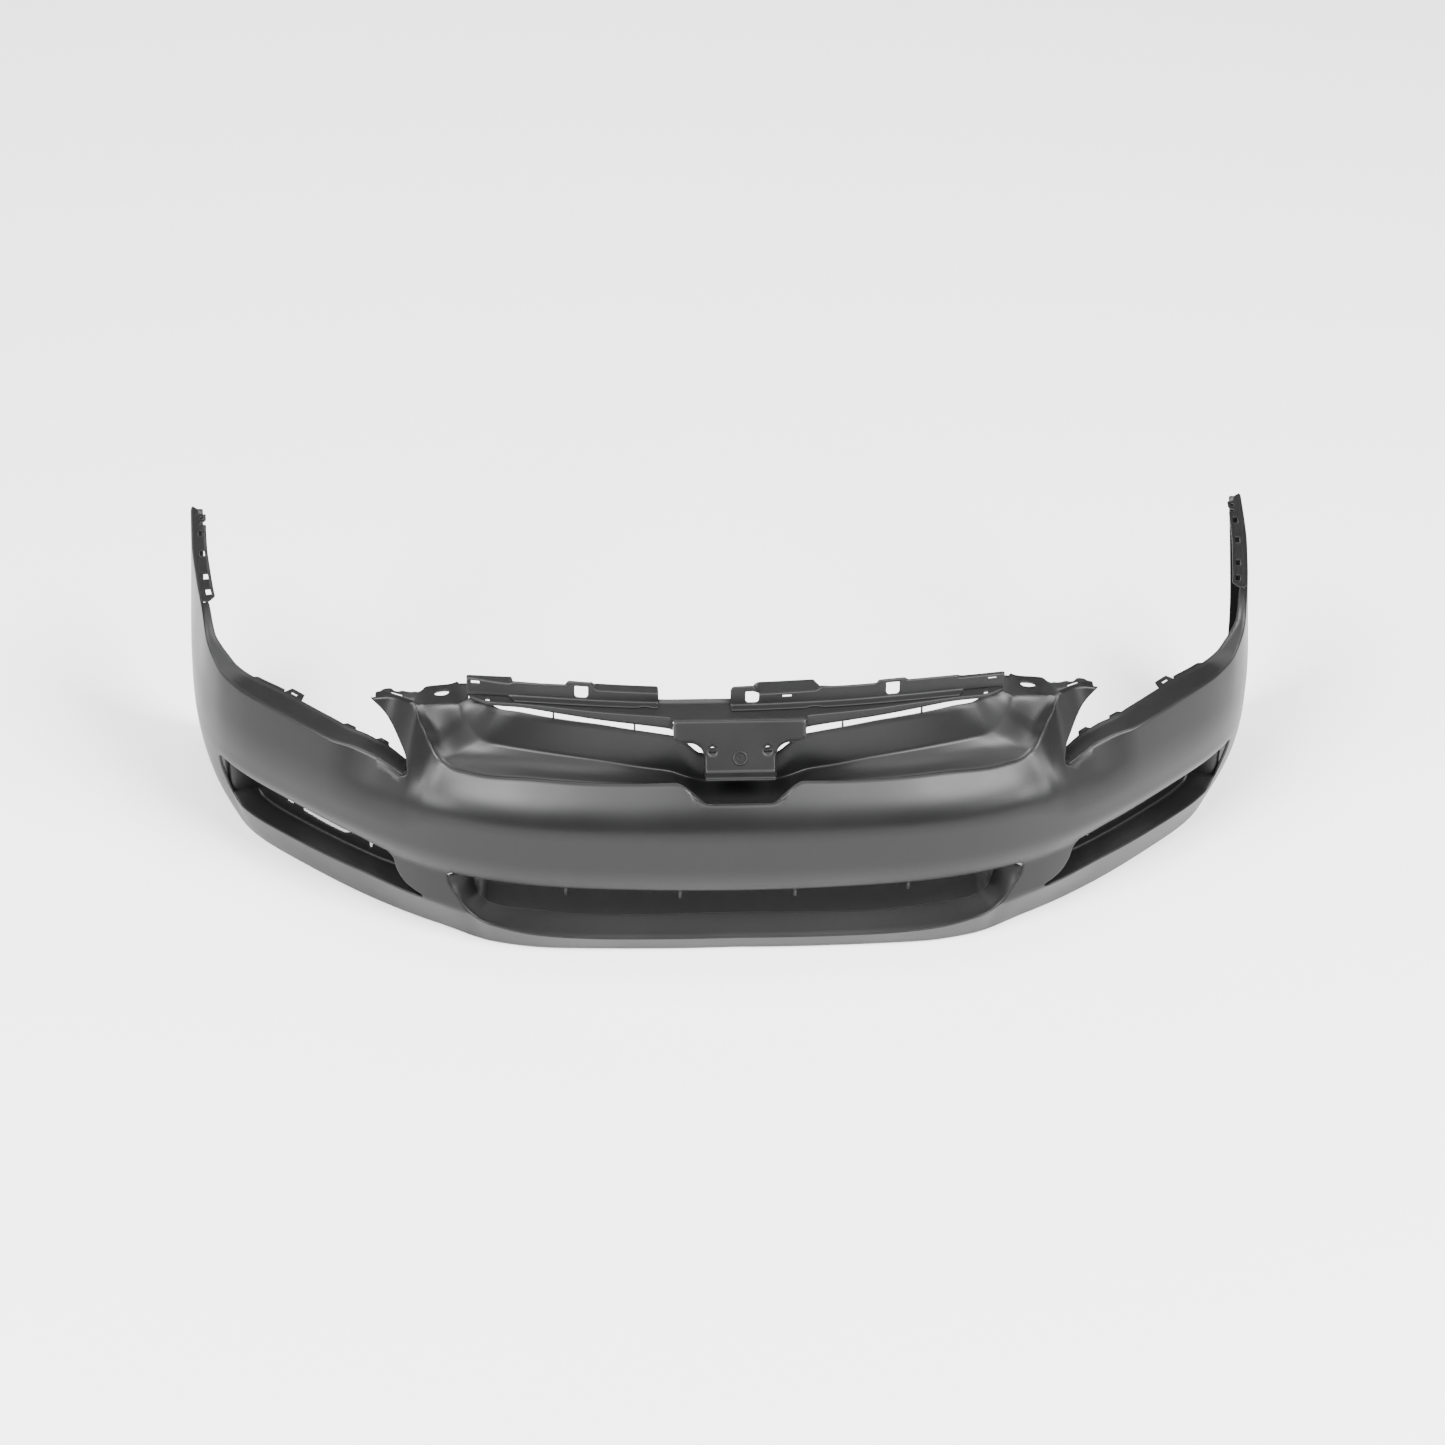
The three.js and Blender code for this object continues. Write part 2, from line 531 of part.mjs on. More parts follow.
function buildPlate() {
  const surface = (x, b) => {
    const down = Math.min(b, PLATE_LIP);
    const forward = THREE.MathUtils.clamp(b - PLATE_LIP, 0, PLATE_LIP_REACH);
    const turned = Math.max(b - PLATE_LIP - PLATE_LIP_REACH, 0);
    return new THREE.Vector3(-x, PLATE_TOP[0] + PLATE_DOWN[0] * down - forward,
      PLATE_TOP[1] + PLATE_DOWN[1] * down - turned);
  };
  const columns = stations([[-110, 110, 4]]);
  const rows = [-1, PLATE_LIP, PLATE_LIP + PLATE_LIP_REACH, 105];
  let plate = blank(columns, sizes(rows), INNER_WALL).intersect(cutter(mirrorOutline(PLATE)));
  const [offset, holeDown, radius] = PLATE_HOLE;
  const hole = (side) => cutter(disc(side * offset, holeDown, radius, 14));
  for (const side of [-1, 1]) plate = plate.subtract(hole(side));
  plate = formed(plate, surface);
  const [collarRadius, length] = PLATE_COLLAR;
  const sunk = (x, b) => surface(x, b).add(new THREE.Vector3(0, 1, 0));
  for (const side of [-1, 1]) {
    const outer = cutter(disc(side * offset, holeDown, collarRadius, 14));
    const collar = blank(columns, sizes([0, PLATE_LIP]), length).intersect(outer).subtract(hole(side));
    plate = plate.add(formed(collar, sunk, new THREE.Vector3(0, 1, 0)));
  }
  const [bossDown, outer, inner, height] = PLATE_BOSS;
  const ring = blank(columns, sizes([0, PLATE_LIP]), height + 1)
    .intersect(cutter(disc(0, bossDown, outer, 20)))
    .subtract(cutter(disc(0, bossDown, inner, 20)));
  const outward = new THREE.Vector3(0, PLATE_DOWN[1], -PLATE_DOWN[0]).setLength(height);
  const raised = (x, b) => surface(x, b).add(outward);
  return plate.add(formed(ring, raised));
}

addPart('emblem_plate', buildPlate(), PRIMER);

// Horn flanges -------------------------------------------------------------------------------------------

// [u, front edge, rear edge] behind the right horn
const HORN_FLANGE_DEPTH = 30;
const HORN_FLANGE = [
  [438, 438, 195, 389, 424, 243, 401],
  [449, 449, 191.5, 392, 443, 240, 401],
  [475, 475, 184.5, 398, 461, 231, 401],
  [500, 500, 178.5, 404, 500, 224, 402],
  [526, 528, 172, 410, 525, 209, 403],
  [560, 562, 195, 404.5, 563, 222, 401],
  [582, 584, 209.5, 400.5, 582, 216, 400],
];

function addHornFlanges() {
  let flat = blank(stations([[438, 582, 11]]), sizes([0, HORN_FLANGE_DEPTH]), INNER_WALL);
  flat = flat.subtract(cutter(rectangle(538.5, 14, 557.5, 22)));
  flat = flat.subtract(cutter(disc(0, 17, 4, 12)).scale([2.5, 1, 1]).translate([482, 0, 0]));
  const flange = formed(flat, ruled(HORN_FLANGE, HORN_FLANGE_DEPTH));
  const sideways = { right: -1, left: 1 };
  for (const [side, solid] of [['right', flange], ['left', mirrored(flange)]]) {
    const directions = [[0, 1, 0], [0, 0, 1], [sideways[side], 0, 0]];
    const clear = clearOf(clearOf(solid, skin, directions), recess, directions);
    addPart(`horn_flange_${side}`, clear, PRIMER);
  }
}

addHornFlanges();

// Headlamp shelves ---------------------------------------------------------------------------------------

const shelfWidth = along([[588, 32], [647, 35], [735, 42], [826, 42], [889, 37], [962, 27], [993, 20],
  [1015, 15], [1070, 12]]);
const SHELF_RISE = 0.05;
const SHELF_RANGE = [573, 1070];
const SHELF_TABS = [[626, 644, 7], [690, 706, 6], [806, 834, 14], [840, 905, 5]]; // from, to, reach
const TAB_SLOT = [813, 827];

function buildShelf() {
  const surface = (s, w) => {
    const h = lampEdge(s);
    return planPoint(s, shoulderDepth(s, h) + w, h + SHELF_RISE * w);
  };
  const inner = [];
  for (const s of stations([[SHELF_RANGE[0], SHELF_RANGE[1], 16]])) inner.push([s, shelfWidth(s)]);
  let flat = blank(stations([[570, 1080, 24]]), sizes([EDGE_START, 30, 60]), INNER_WALL);
  let outline = cutter([[SHELF_RANGE[0], 0], ...inner, [SHELF_RANGE[1], 0]]);
  for (const [from, to, reach] of SHELF_TABS) {
    const edge = shelfWidth((from + to) / 2);
    outline = outline.add(cutter(rectangle(from, edge - 8, to, edge + reach)));
  }
  const slotAt = shelfWidth(TAB_SLOT[0]);
  flat = flat.intersect(outline).subtract(cutter(rectangle(TAB_SLOT[0], slotAt + 2, TAB_SLOT[1], slotAt + 8)));
  return formed(flat, surface);
}

addPair('headlamp_shelf', buildShelf(), PRIMER);

// Fender and wheel arch flanges --------------------------------------------------------------------------

const FENDER_FLANGE_START = 1075;
const LOOP_TAB = [1296, 1312]; // stations of the loop tab near the wing tip
const TIP_WIDTH = 10;

function buildFenderFlange() {
  const surface = (s, w) => planPoint(s, shoulderDepth(s, WING_SEAM_HEIGHT) + w, WING_SEAM_HEIGHT);
  const flangeTip = WING_TIP_STATION - 1;
  const outline = [
    [FENDER_FLANGE_START, 0], [flangeTip, 0], [flangeTip, TIP_WIDTH], [LOOP_TAB[1], TIP_WIDTH + 3],
    [LOOP_TAB[1], FENDER_FLANGE_WIDTH], [LOOP_TAB[0], FENDER_FLANGE_WIDTH], [LOOP_TAB[0] - 4, TIP_WIDTH + 4],
    [LOOP_TAB[0] - 8, TIP_WIDTH + 4], [LOOP_TAB[0] - 12, FENDER_FLANGE_WIDTH],
    [FENDER_FLANGE_START + 10, FENDER_FLANGE_WIDTH], [FENDER_FLANGE_START, 14],
  ];
  const columns = stations([[1070, 1340, 12]]);
  let flat = blank(columns, sizes([EDGE_START, 30]), INNER_WALL).intersect(cutter(outline));
  const [length, width] = WINDOW_SIZE;
  for (const s of WINDOW_STATIONS) {
    flat = flat.subtract(cutter(rectangle(s - length / 2, 16 - width / 2, s + length / 2, 16 + width / 2)));
  }
  flat = flat.subtract(cutter(disc((LOOP_TAB[0] + LOOP_TAB[1]) / 2, 17.5, 4, 10)));
  return formed(flat, surface);
}

function buildArchFlange() {
  const radius = Math.hypot(ARCH_CENTRE[0] - WING_TIP_STATION, WING_SEAM_HEIGHT - ARCH_CENTRE[1]);
  const surface = (h, w) => {
    const s = ARCH_CENTRE[0] - Math.sqrt(radius ** 2 - (h - ARCH_CENTRE[1]) ** 2);
    return planPoint(s, shoulderDepth(s, h) + lowerDepth(s, h) - w, h);
  };
  const heights = stations([[2, WING_SEAM_HEIGHT - 2 * INNER_WALL, 12]]);
  return formed(blank(heights, sizes([-ARCH_FLANGE_WIDTH, -EDGE_START - 1]), INNER_WALL), surface);
}

addPair('fender_flange', buildFenderFlange(), PRIMER);
addPair('wheel_arch_flange', buildArchFlange(), PRIMER);

// Lower opening ------------------------------------------------------------------------------------------

// Right half of the duct floor: [u, rim as station and height, step edge, rear edge]
const DUCT_PITCH = 40;
const DUCT = [
  [0, 0, 36, 0, 58, 48, 0, 150, 42],
  [191, 191, 37, 190, 55, 49, 190, 150, 44],
  [300, 300, 42, 284, 62, 49.5, 284, 150, 45],
  [335, 335, 45, 315, 68, 50, 318, 150, 45],
  [400, 400, 56, 381, 81, 50, 380, 150, 46],
  [428, 428, 62, 404, 91, 51, 402, 150, 50],
  [446, 446, 74, 421, 98, 66, 415, 150, 60],
  [464, 463, 99, 428, 96, 98, 428, 150, 98],
  [482, 482, 126, 431, 93, 128, 431, 150, 128],
];
const DUCT_STEP = 3; // small upstand at the step edge

function buildDuct() {
  const sections = DUCT.map(([u, s, h, ...rest]) => {
    const rim = planPoint(s, lowerDepth(s, h) + DEEP_START, h);
    const step = rest.slice(0, 3);
    return [u, rim.x, rim.y, rim.z, ...step, step[0], step[1] + 1.5, step[2] - DUCT_STEP, ...rest.slice(3)];
  });
  const half = stations([[0, 300, 6], [300, 400, 4], [400, 482, 8]]);
  const flat = blank(bothSides(half), sizes([0, 1, 2, 3].map((i) => i * DUCT_PITCH)), INNER_WALL);
  return formed(flat, ruled(sections, DUCT_PITCH));
}

function buildBarReturn() {
  const [from, to, above] = BAR_RETURN;
  const surface = (s, w) => planPoint(s, barTuck(s) + w, barEdge(s) + above);
  return formed(blank(bothSides(stations([[0, 476, 12]])), sizes([from, to]), INNER_WALL), surface);
}

// Rib across offset x with a profile of [y, z]
function ribAt(x, width, profile) {
  const shape = new THREE.Shape(profile.map(([y, z]) => new THREE.Vector2(y, z)));
  const geometry = new THREE.ExtrudeGeometry(shape, { depth: width, bevelEnabled: false });
  geometry.rotateX(Math.PI / 2);
  geometry.rotateZ(Math.PI / 2);
  geometry.translate(x - width / 2, 0, 0);
  return solidOf(geometry);
}

// Wedge-shaped post under the bar's return
function buildPost(x) {
  const behind = planPoint(x, barTuck(x), 0).y;
  const top = barEdge(x) + BAR_RETURN[2] - INNER_WALL - GAP;
  const profile = [[behind + 6, top], [behind + 32, top], [behind + 32, top - 8], [behind + 12, top - 22],
    [behind + 6, top - 22]];
  return ribAt(x, POST_WIDTH, profile);
}

// Leaning strut across the slot between the recess wall and the beam's lower front edge
function buildStrut(x) {
  const [wall, low] = track(RECESS.map((row) => [row[7], row[8], row[9]]))(x);
  const [front, high] = track(BEAM)(x);
  const profile = [[wall - 1, low + 0.6], [wall + 5, low + 0.6], [front + 6, high - 0.6], [front, high - 0.6]];
  return ribAt(x, STRUT_WIDTH, profile);
}

addPart('lower_duct', buildDuct(), MOULDED);
addPart('bar_return_flange', buildBarReturn(), MOULDED);
const sides = ['inner', 'outer'];
POST_OFFSETS.forEach((x, i) => addPair(`duct_post_${sides[i]}`, buildPost(x), MOULDED));
STRUT_OFFSETS.forEach((x, i) => addPair(`grille_strut_${sides[i]}`, buildStrut(x), MOULDED));

// Fog lamp pockets ---------------------------------------------------------------------------------------

// Lower edge of the hole in the pocket's back wall, from the outer end inward, as [station, height]
const POCKET_HOLE = [
  [806, 150], [806, 92], [760, 88], [716, 88], [700, 96], [688, 101], [664, 102], [662, 82], [656, 82],
  [652, 96], [640, 98], [634, 110], [634, 150],
];
const POCKET_PITCH = 40;

function buildPocket() {
  const depthAt = (s) => {
    const shape = smoothStep(520, 556, s) * (1 - smoothStep(922, 944, s));
    return 1 + (POCKET_DEPTH - 1) * shape;
  };
  const floor = (s) => chinEdge(s) - POCKET_DROP;
  const surface = (s, v) => {
    const rim = chinEdge(s);
    const start = lowerDepth(s, rim) + DEEP_START;
    const wall = Math.max(start, barTuck(s) + DEEP_START) + depthAt(s);
    const front = 1 + v / POCKET_PITCH;
    if (v < 0) {
      const depth = THREE.MathUtils.lerp(start, wall, front);
      return planPoint(s, depth, THREE.MathUtils.lerp(rim, floor(s), front));
    }
    return planPoint(s, wall, floor(s) + v);
  };
  const columns = stations([[514, 560, 6], [560, 920, 13], [920, 957, 6]]);
  const flat = blank(columns, sizes([-POCKET_PITCH, 0, 60, 105]), INNER_WALL);
  const hole = POCKET_HOLE.map(([s, h]) => [s, h - floor(s)]);
  return formed(flat.subtract(cutter(hole)), surface);
}

addPair('fog_pocket', buildPocket(), MOULDED);

// Lower flange -------------------------------------------------------------------------------------------

function buildLowerFlange() {
  const surface = (s, w) => planPoint(s, footDepth(s) + w, INNER_WALL);
  const columns = bothSides(stations([[0, LOWER_FLANGE_REACH, 12]]));
  let flat = blank(columns, sizes([EDGE_START + 0.4, LOWER_FLANGE_WIDTH]), INNER_WALL);
  for (const s of LOWER_HOLE_STATIONS) {
    for (const side of [-1, 1]) flat = flat.subtract(cutter(disc(side * s, 15, 4.5, 12)));
  }
  return formed(flat, surface);
}

addPart('lower_flange', buildLowerFlange(), MOULDED);

group.position.y = -OVERALL_DEPTH / 2;
group.updateMatrixWorld(true);
export default group;
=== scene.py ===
"""Studio view of a bumper cover: fine meshes, materials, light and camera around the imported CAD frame.

Shapes are worked out in millimetres in the design's own coordinates (x across, y behind the front face,
z up from the lower edge) and moved to the frame at the end. The skin is a surface over a flat drawing:
station s is the length along the plan line from the centre, h the height, and a depth leads inward.
"""
import math

import bpy
import numpy as np
from mathutils import Matrix, Vector
from mathutils.geometry import delaunay_2d_cdt


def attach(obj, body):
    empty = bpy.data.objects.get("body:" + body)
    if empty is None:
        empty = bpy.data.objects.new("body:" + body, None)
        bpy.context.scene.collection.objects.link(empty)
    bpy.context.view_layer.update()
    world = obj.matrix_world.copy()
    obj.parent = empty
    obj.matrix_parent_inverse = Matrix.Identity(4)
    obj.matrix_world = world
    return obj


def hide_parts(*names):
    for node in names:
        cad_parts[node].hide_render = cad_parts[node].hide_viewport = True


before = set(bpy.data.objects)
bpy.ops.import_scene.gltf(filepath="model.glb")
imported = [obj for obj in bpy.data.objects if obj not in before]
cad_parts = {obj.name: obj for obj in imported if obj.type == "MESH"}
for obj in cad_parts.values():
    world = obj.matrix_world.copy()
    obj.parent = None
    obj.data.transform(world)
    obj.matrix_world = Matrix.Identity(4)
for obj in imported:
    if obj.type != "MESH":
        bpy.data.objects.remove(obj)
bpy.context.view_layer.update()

MM = 0.001
DEPTH_OFFSET = -355.05  # from the design's y to the frame's y
WALL = 3.0
INNER_WALL = 2.5
ROLL = 3.2  # radius of the skin's rolled edges
BELT_LOW = 190.0
SHOULDER_ROLL = 60.0
WING_SEAM = 402.0
WING_TIP = 1334.0
ARCH_CENTRE = (1589.0, 120.0)
PLAN_POINTS = [(0, 0), (200, 6.5), (372, 27), (485, 61), (625, 134), (750, 227), (845, 324), (885, 440),
               (897, 580), (898, 720)]


# Curves ------------------------------------------------------------------------------------------------

def hermite(low, high, slope_low, slope_high, span, f):
    """Cubic between two values with given slopes, at fraction f of the span."""
    ends = low * (1 + 2 * f) * (1 - f) ** 2 + high * f * f * (3 - 2 * f)
    return ends + span * (slope_low * f * (1 - f) ** 2 + slope_high * f * f * (f - 1))


def turn_between(a, corner, b, t):
    """Quadratic turn from a to b around a corner."""
    return a * (1 - t) ** 2 + 2 * corner * t * (1 - t) + b * t * t


def same_shape(a, b):
    return np.broadcast_arrays(np.asarray(a, float), np.asarray(b, float))


def track(rows):
    """Monotone cubic through rows [t, a, b, ...]; gives an array whose last axis is a, b, ..."""
    table = np.array(rows, float)
    t, values = table[:, 0], table[:, 1:]
    secants = np.diff(values, axis=0) / np.diff(t)[:, None]
    slopes = np.vstack([secants[:1], np.zeros((len(t) - 2, values.shape[1])), secants[-1:]])
    before, after = secants[:-1], secants[1:]
    rising = before * after > 0
    total = np.where(rising, before + after, 1)
    slopes[1:-1] = np.where(rising, 2 * before * after / total, 0)

    def value(q):
        q = np.clip(np.asarray(q, float), t[0], t[-1])
        i = np.clip(np.searchsorted(t, q, side="right") - 1, 0, len(t) - 2)
        span = (t[i + 1] - t[i])[..., None]
        f = (q - t[i])[..., None] / span
        return hermite(values[i], values[i + 1], slopes[i], slopes[i + 1], span, f)
    return value


def along(rows):
    """One value against the station, the same on both sides."""
    value = track(rows)
    return lambda s: value(np.abs(s))[..., 0]


def natural_spline(knots, values, start_slope):
    """Cubic spline with a given first slope and no bend at the end."""
    n = len(knots)
    h = np.diff(knots)
    system = np.zeros((n, n))
    right = np.zeros(n)
    system[0, :2] = 2 * h[0], h[0]
    right[0] = 6 * ((values[1] - values[0]) / h[0] - start_slope)
    for i in range(1, n - 1):
        system[i, i - 1:i + 2] = h[i - 1], 2 * (h[i - 1] + h[i]), h[i]
        right[i] = 6 * ((values[i + 1] - values[i]) / h[i] - (values[i] - values[i - 1]) / h[i - 1])
    system[-1, -1] = 1
    bends = np.linalg.solve(system, right)

    def value(t):
        i = np.clip(np.searchsorted(knots, t, side="right") - 1, 0, n - 2)
        a = (knots[i + 1] - t) / h[i]
        b = (t - knots[i]) / h[i]
        bend = ((a ** 3 - a) * bends[i] + (b ** 3 - b) * bends[i + 1]) * h[i] ** 2 / 6
        return a * values[i] + b * values[i + 1] + bend
    return value


def smooth_step(low, high, t):
    f = np.clip((t - low) / (high - low), 0, 1)
    return f * f * (3 - 2 * f)


def line(start, end, count):
    return np.linspace(start, end, count)


def curve(points, step=5.0):
    """Smooth curve through flat points, with a point about every step."""
    p = np.array(points, float)
    chords = np.hypot(*np.diff(p, axis=0).T)
    t = np.concatenate([[0], np.cumsum(chords)])
    slopes = np.gradient(p, t, axis=0)
    q = np.linspace(0, t[-1], max(2, int(round(t[-1] / step)) + 1))
    i = np.clip(np.searchsorted(t, q, side="right") - 1, 0, len(t) - 2)
    span = (t[i + 1] - t[i])[:, None]
    f = (q - t[i])[:, None] / span
    return [tuple(point) for point in hermite(p[i], p[i + 1], slopes[i], slopes[i + 1], span, f)]


def rounded(points, radius, steps=5):
    """Closed outline with its corners rounded."""
    out = []
    count = len(points)
    for i, point in enumerate(points):
        corner = np.array(point, float)
        ends = []
        for other in (points[i - 1], points[(i + 1) % count]):
            way = np.array(other, float) - corner
            length = np.hypot(*way)
            ends.append(corner + way / length * min(radius, 0.45 * length))
        out += [tuple(turn_between(ends[0], corner, ends[1], f)) for f in line(0, 1, steps)]
    return out


def dense(points, step):
    """Closed outline divided so that no side is longer than step."""
    out = []
    for a, b in zip(points, points[1:] + points[:1]):
        a, b = np.array(a, float), np.array(b, float)
        parts = max(1, int(math.ceil(np.hypot(*(b - a)) / step)))
        out += [tuple(a + (b - a) * k / parts) for k in range(parts)]
    return out


def disc(u, v, radius, sides=28):
    angles = 2 * np.pi * np.arange(sides) / sides
    return [(u + radius * math.cos(a), v + radius * math.sin(a)) for a in angles]


def rectangle(u0, v0, u1, v1, radius=1.5):
    return rounded([(u0, v0), (u1, v0), (u1, v1), (u0, v1)], radius, 4)


def mirrored(half):
    """Outline of the right half, centre outward, continued on the left."""
    return [(-u, v) for u, v in reversed(half)] + list(half)


# The skin's outer surface ------------------------------------------------------------------------------

plan = np.array(PLAN_POINTS, float)
plan_knots = np.concatenate([[0], np.cumsum(np.hypot(*np.diff(plan, axis=0).T))])
plan_x = natural_spline(plan_knots, plan[:, 0], 1)
plan_y = natural_spline(plan_knots, plan[:, 1], 0)


def plan_point(s, depth, z):
    """Points at station s, moved inward from the plan line by depth, at height z."""
    s, depth, z = np.broadcast_arrays(np.asarray(s, float), depth, z)
    a = np.abs(s)
    ahead, behind = a + 0.5, np.maximum(a - 0.5, 0)
    dx, dy = plan_x(ahead) - plan_x(behind), plan_y(ahead) - plan_y(behind)
    length = np.hypot(dx, dy)
    x = plan_x(a) - dy / length * depth
    y = plan_y(a) + dx / length * depth
    return np.stack([np.where(s < 0, -x, x), y, z], axis=-1)


bar_edge = along([[0, 138], [500, 138], [588, 144], [655, 154], [772, 164], [903, 172], [950, 175]])
chin_edge = along([[0, 36], [191, 37], [335, 45], [406, 57], [451, 69], [526, 74], [850, 77], [904, 80],
                   [940, 96]])
chin_depth = along([[0, 9], [191, 3], [335, -5], [406, -6], [440, 0], [526, 4], [653, 15], [904, 16],
                    [960, 18]])
foot_depth = along([[0, 24], [250, 17], [339, 13], [398, 14], [505, 30], [653, 38], [882, 44], [1100, 46],
                    [1344, 36]])
bar_tuck = along([[0, 10], [500, 11], [600, 12], [700, 10], [800, 8], [900, 5], [960, 1]])
shoulder_start = along([[0, 250], [460, 250], [520, 238], [562, 215], [1344, 215]])
shoulder_slope = along([[0, 1.12], [300, 1.25], [460, 1.28], [504, 1.1], [530, 0.84], [548, 0.6],
                        [566, 0.5], [620, 0.56], [660, 0.48], [707, 0.3], [850, 0.24], [913, 0.19],
                        [960, 0.12], [1010, 0.09], [1060, 0.1], [1142, 0.085], [1224, 0.05], [1344, 0.02]])
LAMP_EDGE = [(568, 302.5), (623, 312), (707, 324), (791, 330), (850, 333), (913, 337), (949, 345), (972, 355),
             (1004, 370), (1035, 388), (1060, 398), (1085, WING_SEAM), (1400, WING_SEAM)]
lamp_edge = along(LAMP_EDGE)


def shoulder_depth(s, h):
    rise = np.maximum(h - shoulder_start(s), 0)
    slope = shoulder_slope(s)
    rolled = slope * rise * rise / (2 * SHOULDER_ROLL)
    straight = slope * (rise - SHOULDER_ROLL / 2)
    return np.where(rise < SHOULDER_ROLL, rolled, straight)


def lower_depth(s, h):
    bar, chin, tuck = bar_edge(s), chin_edge(s), bar_tuck(s)
    near_bar = tuck * ((BELT_LOW - h) / (BELT_LOW - bar)) ** 2
    middle = tuck + (chin_depth(s) - tuck) * (h - bar) / (chin - bar)
    low = chin_depth(s) + (foot_depth(s) - chin_depth(s)) * (h - chin) / (0 - chin)
    front = np.where(h >= bar, near_bar, np.where(h >= chin, middle, low))
    wing = foot_depth(s) * ((BELT_LOW - h) / BELT_LOW) ** 2
    blend = smooth_step(925, 1010, np.abs(s))
    return np.where(h >= BELT_LOW, 0, front + (wing - front) * blend)


def skin_depth(s, h):
    return shoulder_depth(s, h) + lower_depth(s, h)


# Meshes ------------------------------------------------------------------------------------------------

def inside(points, outline):
    """Which flat points lie inside a closed outline."""
    p, a = np.asarray(points, float), np.array(outline, float)
    b = np.roll(a, -1, axis=0)
    result = np.zeros(len(p), bool)
    for (ax, ay), (bx, by) in zip(a, b):
        if ay == by:
            continue
        crosses = (ay > p[:, 1]) != (by > p[:, 1])
        at = ax + (p[:, 1] - ay) * (bx - ax) / (by - ay)
        result ^= crosses & (p[:, 0] < at)
    return result


NEAREST_LIMIT = 12.0  # distances beyond this are not worked out


def edge_distance(points, outlines):
    """Distance from flat points to the nearest side of the outlines."""
    p = np.asarray(points, float)
    nearest = np.full(len(p), 1e9)
    for outline in outlines:
        a = np.array(outline, float)
        b = np.roll(a, -1, axis=0)
        for start, end in zip(a, b):
            low = np.minimum(start, end) - NEAREST_LIMIT
            high = np.maximum(start, end) + NEAREST_LIMIT
            near = np.flatnonzero(np.all((p > low) & (p < high), axis=1))
            if not len(near):
                continue
            way = end - start
            f = np.clip((p[near] - start) @ way / (way @ way + 1e-12), 0, 1)
            gap = np.hypot(*(p[near] - start - f[:, None] * way).T)
            nearest[near] = np.minimum(nearest[near], gap)
    return nearest


def triangulated(outline, holes, columns, rows, margin, rings=()):
    """Flat triangles over an outline with holes, on a lattice of columns and rows."""
    loops = [outline, *holes]
    lattice = np.array([(u, v) for u in columns for v in rows])
    ring_points = []
    for ring in rings:
        for loop, sign in [(outline, 1)] + [(hole, -1) for hole in holes]:
            a = np.array(loop, float)
            way = np.roll(a, -1, axis=0) - np.roll(a, 1, axis=0)
            area = np.sum(a[:, 0] * np.roll(a[:, 1], -1) - np.roll(a[:, 0], -1) * a[:, 1])
            normal = np.stack([-way[:, 1], way[:, 0]], 1) / np.hypot(*way.T)[:, None]
            shifted = a + normal * ring * sign * np.sign(area)
            fits = edge_distance(shifted, loops) > 0.93 * ring
            ring_points.append(shifted[fits])
    keep = inside(lattice, outline) & (edge_distance(lattice, loops) > margin)
    for hole in holes:
        keep &= ~inside(lattice, hole)
    points = [tuple(p) for p in lattice[keep]]
    for ring in ring_points:
        good = inside(ring, outline)
        for hole in holes:
            good &= ~inside(ring, hole)
        points += [tuple(p) for p in ring[good]]
    edges = []
    for loop in loops:
        first = len(points)
        points += [tuple(p) for p in loop]
        edges += [(first + i, first + (i + 1) % len(loop)) for i in range(len(loop))]
    verts, _, faces, *_ = delaunay_2d_cdt([Vector(p) for p in points], edges, [], 0, 1e-4, False)
    flat = np.array([tuple(v) for v in verts])
    faces = np.array(faces)
    centres = flat[faces].mean(axis=1)
    good = inside(centres, outline)
    for hole in holes:
        good &= ~inside(centres, hole)
    return flat, faces[good]


def vertex_normals(points, faces):
    a, b, c = points[faces[:, 0]], points[faces[:, 1]], points[faces[:, 2]]
    face_normals = np.cross(b - a, c - a)
    normals = np.zeros_like(points)
    for k in range(3):
        np.add.at(normals, faces[:, k], face_normals)
    return normals / np.maximum(np.linalg.norm(normals, axis=1), 1e-12)[:, None]


def shell(points, faces, thickness, steps=4):
    """Closed sheet: outer points, inner points a thickness behind them, and a rounded rim between."""
    count = len(points)
    normals = vertex_normals(points, faces)
    inner = points - normals * thickness
    directed = {}
    for face in faces:
        for i in range(3):
            directed[(face[i], face[(i + 1) % 3])] = True
    border = [(a, b) for a, b in directed if (b, a) not in directed]
    outward = {}
    for a, b in border:
        way = points[b] - points[a]
        for v in (a, b):
            outward[v] = outward.get(v, 0) + np.cross(way, normals[v])
    index = {v: k for k, v in enumerate(outward)}
    rim = []
    for k in range(1, steps):
        angle = math.pi * k / steps
        for v in index:
            bulge = outward[v] / (np.linalg.norm(outward[v]) + 1e-12) * thickness / 2 * math.sin(angle)
            rim.append(points[v] - normals[v] * thickness * (1 - math.cos(angle)) / 2 + bulge)
    verts = np.vstack([points, inner, np.array(rim).reshape(-1, 3)])
    polygons = [tuple(f) for f in faces] + [tuple(f + count)[::-1] for f in faces]

    def at(v, k):
        if k == 0:
            return v
        if k == steps:
            return v + count
        return 2 * count + (k - 1) * len(index) + index[v]
    for a, b in border:
        for k in range(steps):
            polygons.append((at(b, k), at(a, k), at(a, k + 1), at(b, k + 1)))
    return verts, polygons


